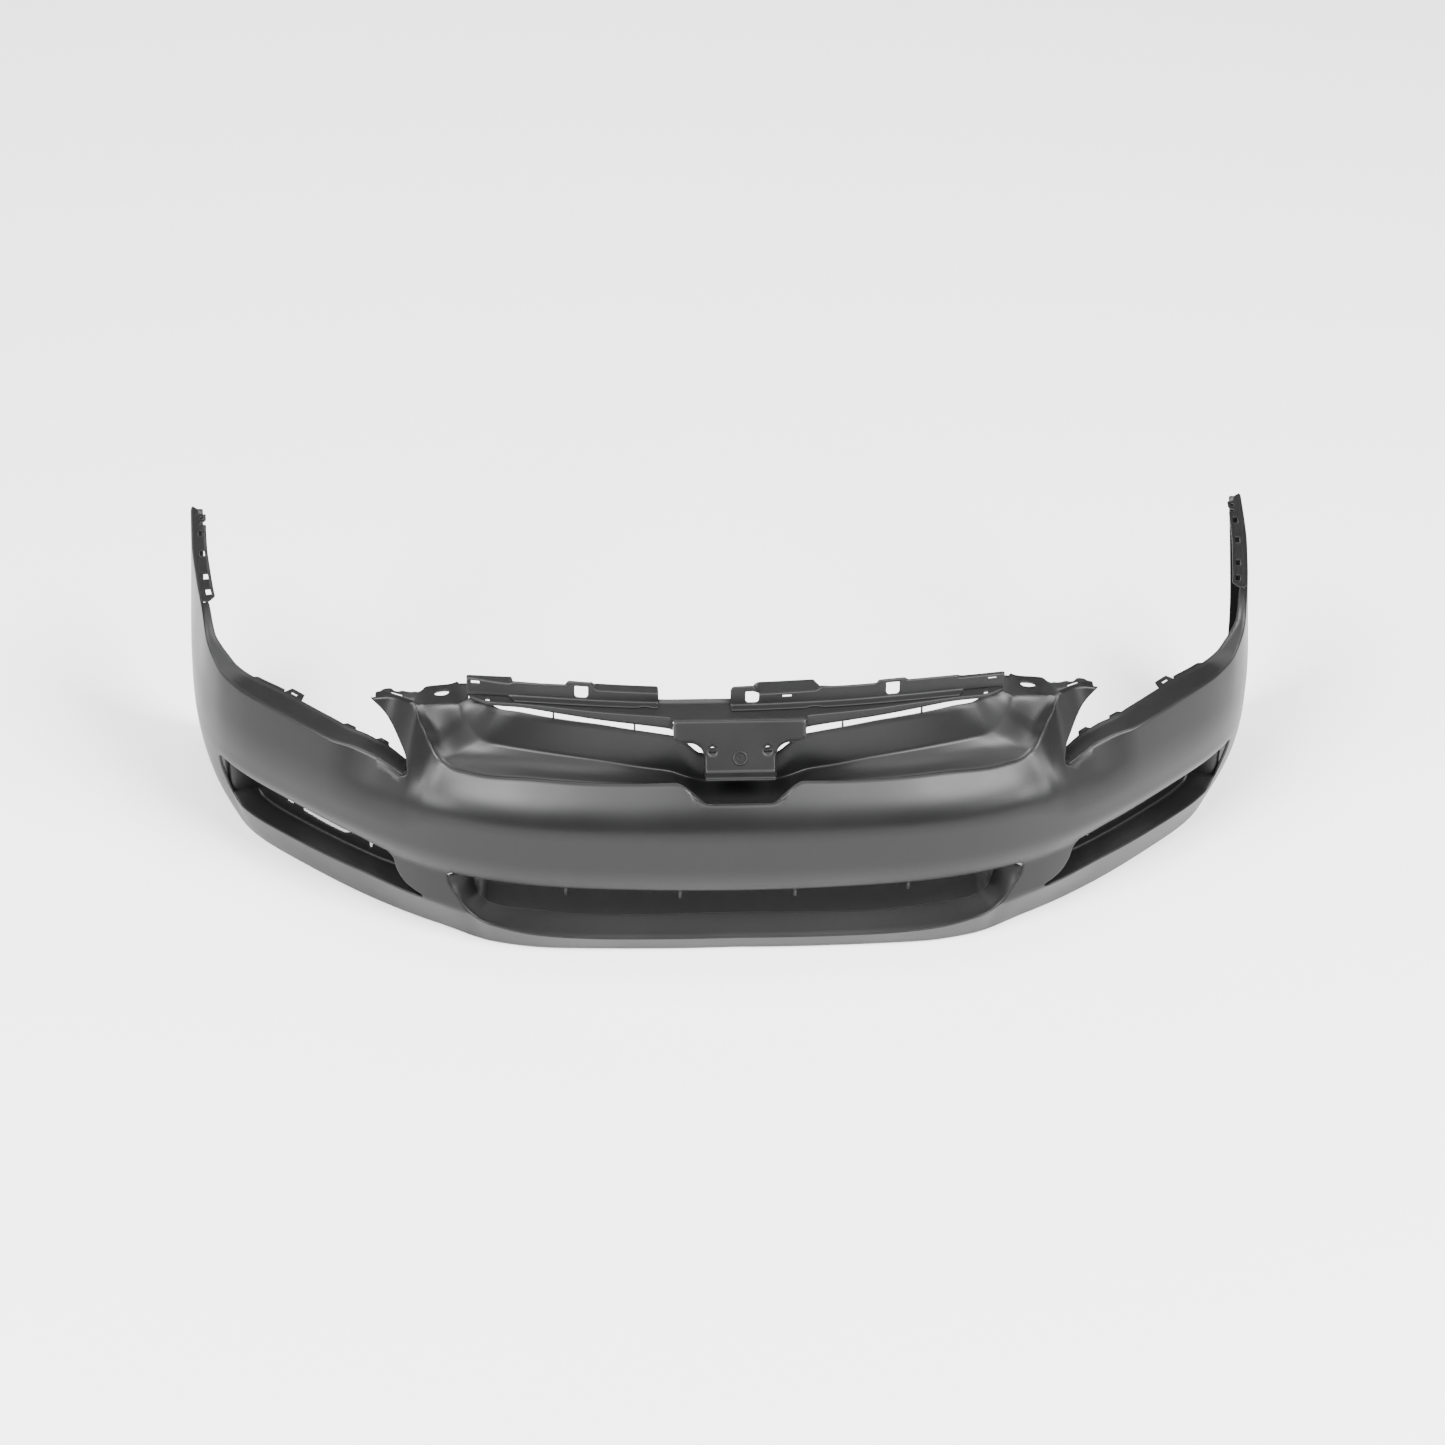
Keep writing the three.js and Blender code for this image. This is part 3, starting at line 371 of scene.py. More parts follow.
def add_mesh(name, verts, polygons, material, node, slot, left=False):
    verts = np.array(verts, float)
    if left:
        verts = verts * [-1, 1, 1]
        polygons = [tuple(reversed(p)) for p in polygons]
    verts = (verts + [0, DEPTH_OFFSET, 0]) * MM
    mesh = bpy.data.meshes.new(name)
    mesh.from_pydata([tuple(v) for v in verts], [], [tuple(int(i) for i in p) for p in polygons])
    mesh.validate()
    mesh.polygons.foreach_set("use_smooth", [True] * len(mesh.polygons))
    piece = bpy.data.objects.new(name, mesh)
    bpy.context.scene.collection.objects.link(piece)
    mesh.materials.append(material)
    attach(piece, "root")
    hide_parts(*([node] if isinstance(node, str) else node))


def sheet_shell(surface, outline, columns, rows, holes, margin):
    """Closed sheet over a flat outline, carried to its place by surface(u, v)."""
    flat, faces = triangulated(outline, holes, columns, rows, margin)
    points = surface(flat[:, 0], flat[:, 1])
    return shell(points, orient(points, faces, surface, flat), INNER_WALL)


def grid_faces(columns, rows):
    """Triangles of a lattice, looking along dU x dV."""
    at = np.arange(columns * rows).reshape(columns, rows)
    a, b, c, d = at[:-1, :-1].ravel(), at[1:, :-1].ravel(), at[1:, 1:].ravel(), at[:-1, 1:].ravel()
    return np.concatenate([np.stack([a, b, c], 1), np.stack([a, c, d], 1)])


def lattice_shell(surface, columns, rows):
    u, v = np.meshgrid(columns, rows, indexing="ij")
    return shell(surface(u, v).reshape(-1, 3), grid_faces(*u.shape), INNER_WALL)


def orient(points, faces, surface, flat):
    """Faces turned so that they look along dU x dV."""
    middle = flat[faces].mean(axis=1)
    u, v = middle[:, 0], middle[:, 1]
    along_u = surface(u + 0.2, v) - surface(u - 0.2, v)
    along_v = surface(u, v + 0.2) - surface(u, v - 0.2)
    a, b, c = points[faces[:, 0]], points[faces[:, 1]], points[faces[:, 2]]
    agrees = np.sum(np.cross(b - a, c - a) * np.cross(along_u, along_v)) > 0
    return faces if agrees else faces[:, ::-1]


def merged(*solids):
    verts, polygons = [], []
    for v, p in solids:
        shift = sum(len(x) for x in verts)
        verts.append(np.array(v, float))
        polygons += [tuple(int(i) + shift for i in f) for f in p]
    return np.vstack(verts), polygons


# Materials ---------------------------------------------------------------------------------------------

def plastic(name, colour, roughness, grain, mottle, overspray=0.0):
    """Moulded plastic: fine grain, faint mottling and, where asked, paler dust of primer on it."""
    material = bpy.data.materials.new(name)
    material.use_nodes = True
    nodes, links = material.node_tree.nodes, material.node_tree.links
    shader = nodes["Principled BSDF"]
    place = nodes.new("ShaderNodeTexCoord")

    def noise(scale, detail):
        node = nodes.new("ShaderNodeTexNoise")
        node.inputs["Scale"].default_value = scale
        node.inputs["Detail"].default_value = detail
        links.new(place.outputs["Object"], node.inputs["Vector"])
        return node.outputs["Fac"]

    def ramp(source, low, high, dark, light):
        node = nodes.new("ShaderNodeMapRange")
        node.inputs["From Min"].default_value = low
        node.inputs["From Max"].default_value = high
        node.inputs["To Min"].default_value = dark
        node.inputs["To Max"].default_value = light
        links.new(source, node.inputs["Value"])
        return node.outputs["Result"]

    speckle = noise(900.0, 2.0)
    cloud = noise(7.0, 4.0)
    colours = nodes.new("ShaderNodeMix")
    colours.data_type = "RGBA"
    colours.inputs["A"].default_value = (*[c * (1 - mottle) for c in colour], 1)
    colours.inputs["B"].default_value = (*[c * (1 + mottle + overspray) for c in colour], 1)
    mixed = nodes.new("ShaderNodeMath")
    mixed.operation = "MULTIPLY"
    links.new(ramp(cloud, 0.3, 0.7, 0.35, 1.0), mixed.inputs[0])
    links.new(ramp(speckle, 0.3, 0.7, 0.5, 1.0), mixed.inputs[1])
    links.new(mixed.outputs["Value"], colours.inputs["Factor"])
    links.new(colours.outputs["Result"], shader.inputs["Base Color"])
    links.new(ramp(cloud, 0.3, 0.7, roughness - 0.03, roughness + 0.04), shader.inputs["Roughness"])
    bump = nodes.new("ShaderNodeBump")
    bump.inputs["Strength"].default_value = grain
    bump.inputs["Distance"].default_value = 0.0002
    links.new(noise(1400.0, 2.0), bump.inputs["Height"])
    links.new(bump.outputs["Normal"], shader.inputs["Normal"])
    shader.inputs["Specular IOR Level"].default_value = 0.25
    return material


primer = plastic("grey_primer", (0.0045, 0.0045, 0.0046), 0.37, 0.10, 0.03)
moulded = plastic("moulded_plastic", (0.0060, 0.0060, 0.0061), 0.45, 0.25, 0.05, 0.15)


# Skin --------------------------------------------------------------------------------------------------

GRILLE_EDGE = [(114, 327.5), (160, 326), (231, 325), (349, 325), (456, 322), (500, 325), (520, 333), (533, 346),
               (545, 366), (556, 382), (568, 402), (577, 412)]
HORN_TOP = [(577, 412), (620, 405), (660, 397)]
HORN_SIDE = [(660, 397), (620, 371), (590, 349), (572, 331), (564, 311)]


def arch_station(h):
    radius2 = (ARCH_CENTRE[0] - WING_TIP) ** 2 + (WING_SEAM - ARCH_CENTRE[1]) ** 2
    return ARCH_CENTRE[0] - np.sqrt(radius2 - (h - ARCH_CENTRE[1]) ** 2)


def notch_corner():
    """Emblem notch from its floor up to the grille edge."""
    return [(52, 306), (58, 307.2), (66, 311), (80, 319), (90, 324), (99, 327), (106, 327.8)]


def top_edge():
    """Upper outline of the right half, from the grille edge to the wing tip."""
    corner = rounded([(564, 318), (563, 304), (575, 303.6), (600, 320)], 9)[5:10]
    lamp = curve(LAMP_EDGE[1:-1], 6)
    seam = [(s, WING_SEAM) for s in np.arange(1091, WING_TIP - 2, 6)]
    return curve(GRILLE_EDGE) + curve(HORN_TOP)[1:] + curve(HORN_SIDE)[1:-1] + corner + lamp + seam


def skin_outline():
    arch = [(float(arch_station(h)), h) for h in line(WING_SEAM, 0, 68)]
    bottom = [(s, 0.0) for s in np.arange(float(arch_station(0)) - 6, 3, -6)]
    half = notch_corner() + top_edge() + arch + bottom
    floor = dense([(0, 306), (52, 306)], 6)[:-1]
    half = [p for p in floor if 0 < p[0] < 50] + half
    left = [(-s, h) for s, h in reversed(half)]
    return half + [(0.0, 0.0)] + left + [(0.0, 306.0)]


def fog_outline():
    top = [(s, float(bar_edge(s))) for s in line(594, 938, 60)]
    tip = curve([(938, 174), (947, 171), (951, 155), (948, 125), (939, 100), (925, 85)], 4)[1:-1]
    low = [(s, float(chin_edge(s))) for s in line(918, 534, 66)]
    inner = curve([(534, 74.5), (524, 77), (540, 83), (558, 92), (574, 112), (583, 136), (594, 144.5)], 4)[1:-1]
    return top + tip + low + inner


def lower_outline():
    half = [(s, float(chin_edge(s))) for s in line(3, 400, 68)]
    corner = [(400, float(chin_edge(400))), (428, 62), (446, 75), (464, 98), (480, 122), (482, 132), (472, 138)]
    half += curve(corner, 4)[1:]
    half += [(s, 138.0) for s in line(466, 3, 78)]
    left = [(-s, h) for s, h in reversed(half)]
    return half + left


def build_skin():
    outline = skin_outline()
    holes = [fog_outline(), [(-s, h) for s, h in fog_outline()], lower_outline()]
    rings = (0.5, 1.2, 2.1, 3.2, 4.6)
    columns = np.arange(-1345, 1346, 6.5)
    rows = np.arange(3.25, 412, 6.5)
    flat, faces = triangulated(outline, holes, columns, rows, 6.2, rings)
    near = edge_distance(flat, [outline, *holes])
    rolled = np.clip(ROLL - near, 0, ROLL)
    roll = ROLL - np.sqrt(ROLL ** 2 - rolled ** 2)
    points = plan_point(flat[:, 0], skin_depth(flat[:, 0], flat[:, 1]) + roll, flat[:, 1])
    faces = orient(points, faces, lambda s, h: plan_point(s, skin_depth(s, h), h), flat)
    verts, polygons = shell(points, faces, WALL)
    verts[:, 2] = np.maximum(verts[:, 2], 0)
    add_mesh("painted_skin", verts, polygons, primer, "bumper_skin", "primer")


build_skin()


# Neighbouring panels -----------------------------------------------------------------------------------

def ruled(sections, radii, pitch):
    """Surface through cross-sections [u, x, y, z, x, y, z, ...]: rows of points at v = 0, pitch, 2 pitch ...
    joined by straight lines, with the inner rows rounded by their radii."""
    section = track(sections)
    rows = (len(sections[0]) - 1) // 3

    def surface(u, v):
        u, v = np.broadcast_arrays(np.asarray(u, float), np.asarray(v, float) / pitch)
        points = section(np.abs(u)).reshape(*u.shape, rows, 3)

        def straight(w):
            i = np.clip(np.floor(w), 0, rows - 2).astype(int)
            f = (w - i)[..., None]
            low = np.take_along_axis(points, i[..., None, None], axis=-2)[..., 0, :]
            high = np.take_along_axis(points, i[..., None, None] + 1, axis=-2)[..., 0, :]
            return low * (1 - f) + high * f
        out = straight(v)
        for k in range(1, rows - 1):
            before = np.linalg.norm(points[..., k, :] - points[..., k - 1, :], axis=-1)
            after = np.linalg.norm(points[..., k + 1, :] - points[..., k, :], axis=-1)
            a = np.minimum(radii[k - 1] / np.maximum(before, 1e-6), 0.48)
            b = np.minimum(radii[k - 1] / np.maximum(after, 1e-6), 0.48)
            t = np.clip((v - (k - a)) / (a + b), 0, 1)[..., None]
            bend = turn_between(straight(k - a), points[..., k, :], straight(k + b), t)
            out = np.where(((v > k - a) & (v < k + b))[..., None], bend, out)
        return out * np.stack([np.where(u < 0, -1, 1), np.ones_like(u), np.ones_like(u)], axis=-1)
    return surface


def bend_rows(pitch, rows, spread, fine=6, coarse=6):
    """Row positions, close together around each bend."""
    out = set(line(0, pitch * (rows - 1), coarse * (rows - 1) + 1))
    for k in range(1, rows - 1):
        out |= set(line(pitch * (k - spread), pitch * (k + spread), 2 * fine + 1))
    return sorted(out)


def snapped(surface, border, reach):
    """Surface whose first rows are drawn onto a border line in space, fading out over reach in v."""
    line_points = np.array(border)

    def moved(u, v):
        u, v = same_shape(u, v)
        base = surface(u, np.zeros_like(v))
        flat = base.reshape(-1, 3)
        shift = np.zeros_like(flat)
        for i, point in enumerate(flat):
            gaps = np.linalg.norm(line_points - point, axis=1)
            k = int(np.argmin(gaps))
            near = line_points[k]
            for other in (k - 1, k + 1):
                if 0 <= other < len(line_points):
                    way = line_points[other] - line_points[k]
                    f = np.clip((point - line_points[k]) @ way / (way @ way + 1e-9), 0, 1)
                    candidate = line_points[k] + f * way
                    if np.linalg.norm(candidate - point) < np.linalg.norm(near - point):
                        near = candidate
            shift[i] = near - point
        fade = 1 - smooth_step(0, reach, v)
        return surface(u, v) + shift.reshape(base.shape) * fade[..., None]
    return moved


def rolled_border(points):
    """Where the skin's rolled edge ends, for flat border points."""
    p = np.array(points, float)
    return plan_point(p[:, 0], skin_depth(p[:, 0], p[:, 1]) + ROLL, p[:, 1])


RECESS_PITCH = 30.0
RECESS_SAG = (0, 3, -3)
RECESS = [
    [0, 0, 12, 306, 0, 95, 300, 0, 110, 340],
    [52, 52, 12, 306, 50, 95, 301, 62, 110, 347],
    [66, 65, 14, 310, 68, 96, 304, 77, 110, 360],
    [86, 85, 34, 320, 90, 99, 310, 92, 109, 377],
    [103, 101, 51, 328, 112, 101, 318, 106, 108, 385],
    [135, 130, 55, 326, 145, 102, 324, 165, 115, 392],
    [230, 229, 66, 325, 229, 112, 335.5, 240, 129, 397],
    [338, 337, 82, 325, 320, 128, 341, 310, 146.5, 397],
    [436, 433, 104, 322, 386, 143, 344.5, 352, 160, 397],
    [478, 472, 123, 325, 413, 151, 350, 383, 171, 394.5],
    [505, 495, 136, 342, 435, 168, 368, 402, 181, 399.5],
    [528, 502, 144, 367, 444, 179, 381, 414, 190, 401],
    [560, 518, 158, 398, 449, 187, 390, 420, 198, 401],
    [576, 524, 167, 411, 452, 189, 392, 424, 200, 401],
]


def build_recess():
    sections = []
    for u, *p in RECESS:
        middle = [(p[k] + p[k + 3]) / 2 + RECESS_SAG[k] for k in range(3)]
        sections.append([u, *p[:3], *middle, *p[3:]])
    base = ruled(sections, (30, 4), RECESS_PITCH)
    edge = [(0, 306), (30, 306)] + notch_corner() + curve(GRILLE_EDGE, 3)
    border = rolled_border([(-s, h) for s, h in reversed(edge[1:])] + edge)
    surface = snapped(base, border, 0.5 * RECESS_PITCH)
    columns = np.unique(np.concatenate([line(0, 130, 40), line(130, 436, 62), line(436, 576, 44)]))
    columns = np.concatenate([-columns[:0:-1], columns])
    rows = np.array(bend_rows(RECESS_PITCH, 4, 0.3))
    verts, polygons = lattice_shell(surface, columns, rows)
    add_mesh("grille_gutter", verts, polygons, primer, "grille_recess", "primer")


# Upper beam, rails and emblem plate

BEAM_PITCH = 20.0
BEAM = [
    [0, 107.2, 396, 107.2, 418, 152, 418, 156, 422],
    [107, 107.2, 396, 107.2, 418, 152, 418, 156, 422],
    [111, 115, 396, 115, 418, 152, 418, 156, 422],
    [130, 118, 397.5, 118, 418, 153.5, 418, 157, 422],
    [165, 122.5, 400, 122.5, 418, 156, 418, 160, 422],
    [224, 131, 403.5, 131, 418, 162, 418, 166, 422],
    [288, 143.5, 407.5, 143.5, 418, 169, 418, 173, 422],
    [352, 155.5, 412, 155.5, 418, 176.5, 418, 180, 422],
    [405, 163, 412.5, 163, 418, 183.5, 418, 187, 422],
    [420, 170.5, 412.5, 170.5, 418, 185, 418, 189, 422],
    [432, 178, 412.5, 178, 418, 187, 418, 191, 422],
]
LIP_ENDS = (-129.5, -12.5)
RAIL_FACE = [
    [-440, 182.5, 192], [-383, 176, 184], [-319, 169, 173], [-287, 165, 169], [-223, 158, 161],
    [-165, 153, 155.5], [-130, 151, 153], [-12, 142, 145], [35, 143, 146], [100, 146, 150],
    [165, 150, 154], [263, 160, 165],
    [377, 175, 179], [440, 183.5, 188],
]
RAIL_FOOT = 421.0
RAIL_HEIGHT = 19.0  # height over which RAIL_FACE gives the two depths
RAIL_BEND = 3.0
LEFT_RAIL = [(-436, 0), (-436, 30), (-366, 37), (-364, 24), (-279, 26), (-273, 33), (-237, 33), (-230, 36.5),
             (-130, 36), (-130, -12), (-139, -12), (-145, -9), (-157, -9), (-162, -12), (-360, -12), (-368, 0)]
RIGHT_RAIL = [(-12, -12), (-12, 28), (-8, 34), (25, 35), (33, 50), (123, 49), (131, 30), (150, 27), (223, 26),
              (229, 31), (270, 31), (276, 27), (356, 27), (434, 26), (434, 0), (366, 0), (360, -12), (136, -12),
              (130, -9), (114, -9), (108, -12)]
LEFT_BENDS = [[-440, 24], [-369, 19], [-363, 22], [-279, 24], [-273, 31], [-237, 31], [-230, 18], [-126, 17]]
RIGHT_BENDS = [[-16, 32], [25, 33], [34, 18], [125, 19], [137, 26], [150, 25], [223, 24], [229, 29], [270, 29],
               [276, 25], [356, 25], [362, 20], [440, 20]]
U_WINDOWS = (-253, 22, 251)
RAIL_SLOTS = {"left": [(-431, 15, -415, 21)], "right": [(70, 10.5, 87, 16.5), (407, 13, 424, 17.5)]}


def build_beam():
    sections = [[x, x, *r[0:2], x, *r[2:4], x, *r[4:6], x, *r[6:8]] for x, *r in BEAM]
    surface = ruled(sections, (3, 3, 2), BEAM_PITCH)
    high = 2 * BEAM_PITCH
    outline = [(-432, 0), (-109, 0), (-109, BEAM_PITCH), (109, BEAM_PITCH), (109, 0), (432, 0), (432, high),
               (LIP_ENDS[1], high), (LIP_ENDS[1], 60), (LIP_ENDS[0], 60), (LIP_ENDS[0], high), (-432, high)]
    outline = dense(rounded(outline, 1.5, 4), 8)
    holes = [rectangle(x - 4.5, 23, x + 4.5, 29, 2) for x in (-403.5, 403.5)]
    rows = bend_rows(BEAM_PITCH, 4, 0.25, 4, 3)
    columns = sorted(set(np.arange(-428, 430, 7.0)) | {-112.0, -110.0, 110.0, 112.0})
    verts, polygons = sheet_shell(surface, outline, columns, rows, holes, 1.2)
    add_mesh("grille_beam", verts, polygons, moulded, "upper_beam", "moulded_plastic")


def rail_surface(bends):
    """Rail along x: foot for v below 0, face up to its bend and top flange beyond, the bends rounded."""
    face, bend = track(RAIL_FACE), track(bends)

    def surface(x, v):
        x, v = same_shape(x, v)
        low, high = np.moveaxis(face(x), -1, 0)
        top = bend(x)[..., 0]

        def straight(w):
            up = np.clip(w, 0, top)
            y = low + (high - low) * up / RAIL_HEIGHT + np.minimum(w, 0) + np.maximum(w - top, 0)
            return np.stack([x, y, RAIL_FOOT + up], axis=-1)
        out = straight(v)
        for corner in (np.zeros_like(top), top):
            t = np.clip((v - corner + RAIL_BEND) / (2 * RAIL_BEND), 0, 1)[..., None]
            start, end = straight(corner - RAIL_BEND), straight(corner + RAIL_BEND)
            blend = turn_between(start, straight(corner), end, t)
            out = np.where((np.abs(v - corner) < RAIL_BEND)[..., None], blend, out)
        return out
    return surface


def build_rail(side, outline, bends):
    outline = dense(rounded(outline, 2.5, 5), 5)
    low, high = min(p[0] for p in outline), max(p[0] for p in outline)
    holes = []
    for x in U_WINDOWS:
        if low < x < high:
            holes.append(dense(rounded([(x - 12, 25), (x - 12, 7), (x - 8, 3), (x + 8, 3), (x + 12, 7),
                                        (x + 12, 25)], 3, 4), 4))
    holes += [rectangle(*slot, 1.5) for slot in RAIL_SLOTS[side]]
    columns = np.arange(low + 3, high, 5)
    rows = np.arange(-10, 50, 1.6)
    verts, polygons = sheet_shell(rail_surface(bends), outline, columns, rows, holes, 1.3)
    add_mesh(f"rail_{side}", verts, polygons, moulded, f"upper_rail_{side}", "moulded_plastic")


PLATE = [(57, 101), (57, 60), (57.5, 52), (60, 44.5), (65, 39), (72, 34.5), (79, 33), (90, 33), (103, 29),
         (106, 26.5), (106, 0)]
PLATE_TOP = (105, 417.5)
PLATE_DOWN = (-0.64, -0.768)
PLATE_LIP = 81.0
LIP_REACH = 16.0
PLATE_HOLE = (44.5, 46.7, 7.7)


def plate_surface(x, b):
    """Face of the emblem plate: b runs down it, forward along its lip and down again at the lip's edge."""
    x, b = same_shape(x, b)

    def straight(w):
        down, lip = np.minimum(w, PLATE_LIP), np.clip(w - PLATE_LIP, 0, LIP_REACH)
        turned = np.maximum(w - PLATE_LIP - LIP_REACH, 0)
        y, z = PLATE_TOP[0] + PLATE_DOWN[0] * down - lip, PLATE_TOP[1] + PLATE_DOWN[1] * down - turned
        return np.stack([y, z], -1)
    place = straight(b)
    for corner, radius in ((PLATE_LIP, 3.0), (PLATE_LIP + LIP_REACH, 3.5)):
        t = np.clip((b - corner + radius) / (2 * radius), 0, 1)[..., None]
        start, middle, end = (straight(np.full_like(b, corner + way)) for way in (-radius, 0, radius))
        blend = turn_between(start, middle, end, t)
        place = np.where((np.abs(b - corner) < radius)[..., None], blend, place)
    sides = 3 - np.sqrt(9 - np.clip(np.abs(x) - 54, 0, 3) ** 2)
    rolled = sides * smooth_step(50, 60, b)
    return np.stack([-x, place[..., 0] + rolled, place[..., 1]], axis=-1)


def ring(centre, across, up, normal, outer, inner, height, steps=40):
    """Round boss with softened edges on a plane."""
    profile = [(inner, -1.5), (inner, height - 0.6), (inner + 0.5, height), (outer - 0.5, height),
               (outer, height - 0.6), (outer + 0.3, -1.5)]
    verts = []
    for k in range(steps):
        a = 2 * math.pi * k / steps
        way = np.array(across) * math.cos(a) + np.array(up) * math.sin(a)
        verts += [np.array(centre) + way * r + np.array(normal) * z for r, z in profile]
    count = len(profile)
    polygons = []
    for k in range(steps):
        for i in range(count):
            j = (i + 1) % count
            nk = (k + 1) % steps
            polygons.append((k * count + i, nk * count + i, nk * count + j, k * count + j))
    return np.array(verts), [tuple(reversed(p)) for p in polygons]


def collar(centre, outer, inner, length, steps=32):
    """Level tube behind a hole of the plate: its front end follows the plate, its rear end is upright."""
    verts = []
    for k in range(steps):
        a = 2 * math.pi * k / steps
        for radius, back in ((outer, 1.0), (outer, None), (inner, None), (inner, 0.6)):
            down = radius * math.sin(a)
            y = length if back is None else PLATE_DOWN[0] * down + back
            verts.append(np.array(centre) + [radius * math.cos(a), y, PLATE_DOWN[1] * down])
    polygons = []
    for k in range(steps):
        n = (k + 1) % steps
        polygons += [(4 * k + i, 4 * n + i, 4 * n + (i + 1) % 4, 4 * k + (i + 1) % 4) for i in range(4)]
    return np.array(verts), polygons


def build_plate():
    outline = dense(rounded(mirrored(PLATE), 3.5, 5), 4)
    holes = [disc(side * PLATE_HOLE[0], PLATE_HOLE[1], PLATE_HOLE[2]) for side in (-1, 1)]
    rows = sorted(set(np.arange(3, 76, 5.0)) | set(line(77, 85, 7)) | {88.0, 91.0} | set(line(93.5, 100, 7)))
    columns = sorted(set(np.arange(-105, 106, 5.0)) | {-56.0, -54.0, 54.0, 56.0})
    plate = sheet_shell(plate_surface, outline, columns, rows, holes, 1.5)
    normal = (0, PLATE_DOWN[1], -PLATE_DOWN[0])
    up = (0, -PLATE_DOWN[0], -PLATE_DOWN[1])
    extras = [ring(plate_surface(0, 59.5), (1, 0, 0), up, normal, 11.7, 9.2, 2.0),
              ring(plate_surface(0, 59.5), (1, 0, 0), up, normal, 4.5, 3.0, 1.2)]
    for side in (-1, 1):
        extras.append(collar(plate_surface(side * PLATE_HOLE[0], float(PLATE_HOLE[1])), 9.8, 7.8, 15.0))
    add_mesh("badge_plate", *merged(plate, *extras), primer, "emblem_plate", "primer")


# Flanges along the upper edge

HORN_DEPTH = 30.0
HORN_FLANGE = [
    [437, 437, 195, 389, 424, 243, 401],
    [449, 449, 191, 391.5, 442, 241, 401],
    [475, 475, 184, 397.5, 461, 231, 401],
    [500, 500, 177, 403, 500, 224, 402],
    [526, 527, 170, 409.5, 525, 209, 403],
    [560, 562, 195, 404.5, 563, 222, 401],
    [582, 584, 209.5, 400.5, 582, 216, 400],
]


def build_horn_flange(side, left):
    border = rolled_border(curve(HORN_TOP, 4))
    base = ruled(HORN_FLANGE, (), HORN_DEPTH)

    def surface(u, v):
        u, v = same_shape(u, v)
        flat = base(u, v)
        near = snapped(base, border, 0.6 * HORN_DEPTH)(u, v)
        weight = smooth_step(515, 527, u)[..., None]
        return flat * (1 - weight) + near * weight
    outline = dense(rounded([
        (438, 0), (582, 0), (582, 22), (574, 24), (569, HORN_DEPTH), (556, HORN_DEPTH), (552, 24), (546, 24),
        (540, HORN_DEPTH), (520, HORN_DEPTH), (516, 26), (508, 26), (503, HORN_DEPTH), (462, HORN_DEPTH),
        (456, 26), (438, 24)], 2, 4), 4)
    oval = [(482 + 2.5 * (u - 482), v) for u, v in disc(482, 17, 4)]
    holes = [rectangle(539, 14, 557, 21.5, 2), oval]
    rows = line(1.5, HORN_DEPTH - 1.5, 9)
    verts, polygons = sheet_shell(surface, outline, np.arange(440, 582, 4), rows, holes, 1.0)
    add_mesh(f"horn_tab_{side}", verts, polygons, primer, f"horn_flange_{side}", "primer", left)


shelf_width = along([[588, 32], [647, 35], [735, 42], [826, 42], [889, 37], [962, 27], [993, 20], [1015, 15],
                     [1070, 12]])
SHELF_RISE = 0.05
SHELF = (566, 1070)
SHELF_TABS = [(626, 644, 7), (690, 706, 6), (806, 834, 14), (840, 905, 5)]


def shelf_outline():
    rear = [(s, float(shelf_width(s))) for s in np.arange(SHELF[0], SHELF[1], 5.0)]
    edge = []
    for s, w in rear:
        edge.append((s, w + sum(reach for low, high, reach in SHELF_TABS if low <= s <= high)))
    front = [(s, ROLL) for s in np.arange(SHELF[1], SHELF[0], -5.0)]
    return [(SHELF[0], ROLL)] + edge + [(SHELF[1], float(shelf_width(SHELF[1])))] + front


def shelf_surface(s, w):
    """Shelf behind the lamp edge, with a shallow upturned rear edge."""
    s, w = same_shape(s, w)
    h = lamp_edge(s)
    upturn = 1.2 * smooth_step(0, 6, w - shelf_width(s) + 6)
    return plan_point(s, shoulder_depth(s, h) + w, h + SHELF_RISE * (w - ROLL) + upturn)


def build_shelf(side, left):
    holes = [rectangle(813, 45, 827, 51, 1.5), rectangle(632, 36, 639, 39, 1)]
    columns, rows = np.arange(574, 1068, 5), np.arange(6.5, 58, 2.6)
    shelf = sheet_shell(shelf_surface, shelf_outline(), columns, rows, holes, 1.2)
    verts, polygons = merged(shelf, corner_wall())
    add_mesh(f"lamp_shelf_{side}", verts, polygons, primer, f"headlamp_shelf_{side}", "primer", left)


def corner_wall():
    """Short upright wall that closes the lamp opening against the horn."""
    side = np.array(curve([(590, 349), (572, 331), (564.5, 312), (565, 305), (573, 302.5)], 4))
    s, h = side[:, 0], side[:, 1]
    rows = line(0, 1, 6)
    front = plan_point(s, skin_depth(s, h) + ROLL, h)
    rear = plan_point(s + 6, skin_depth(s, h) + ROLL + 18, h - 2)
    points = np.stack([front * (1 - f) + rear * f for f in rows], axis=1)
    faces = grid_faces(len(s), len(rows))
    return shell(points.reshape(-1, 3), faces, INNER_WALL)


WINDOW_STATIONS = (1100, 1143, 1207, 1262)
LOOP_TAB = (1296, 1312)
FLANGE_WIDTH = 24.0


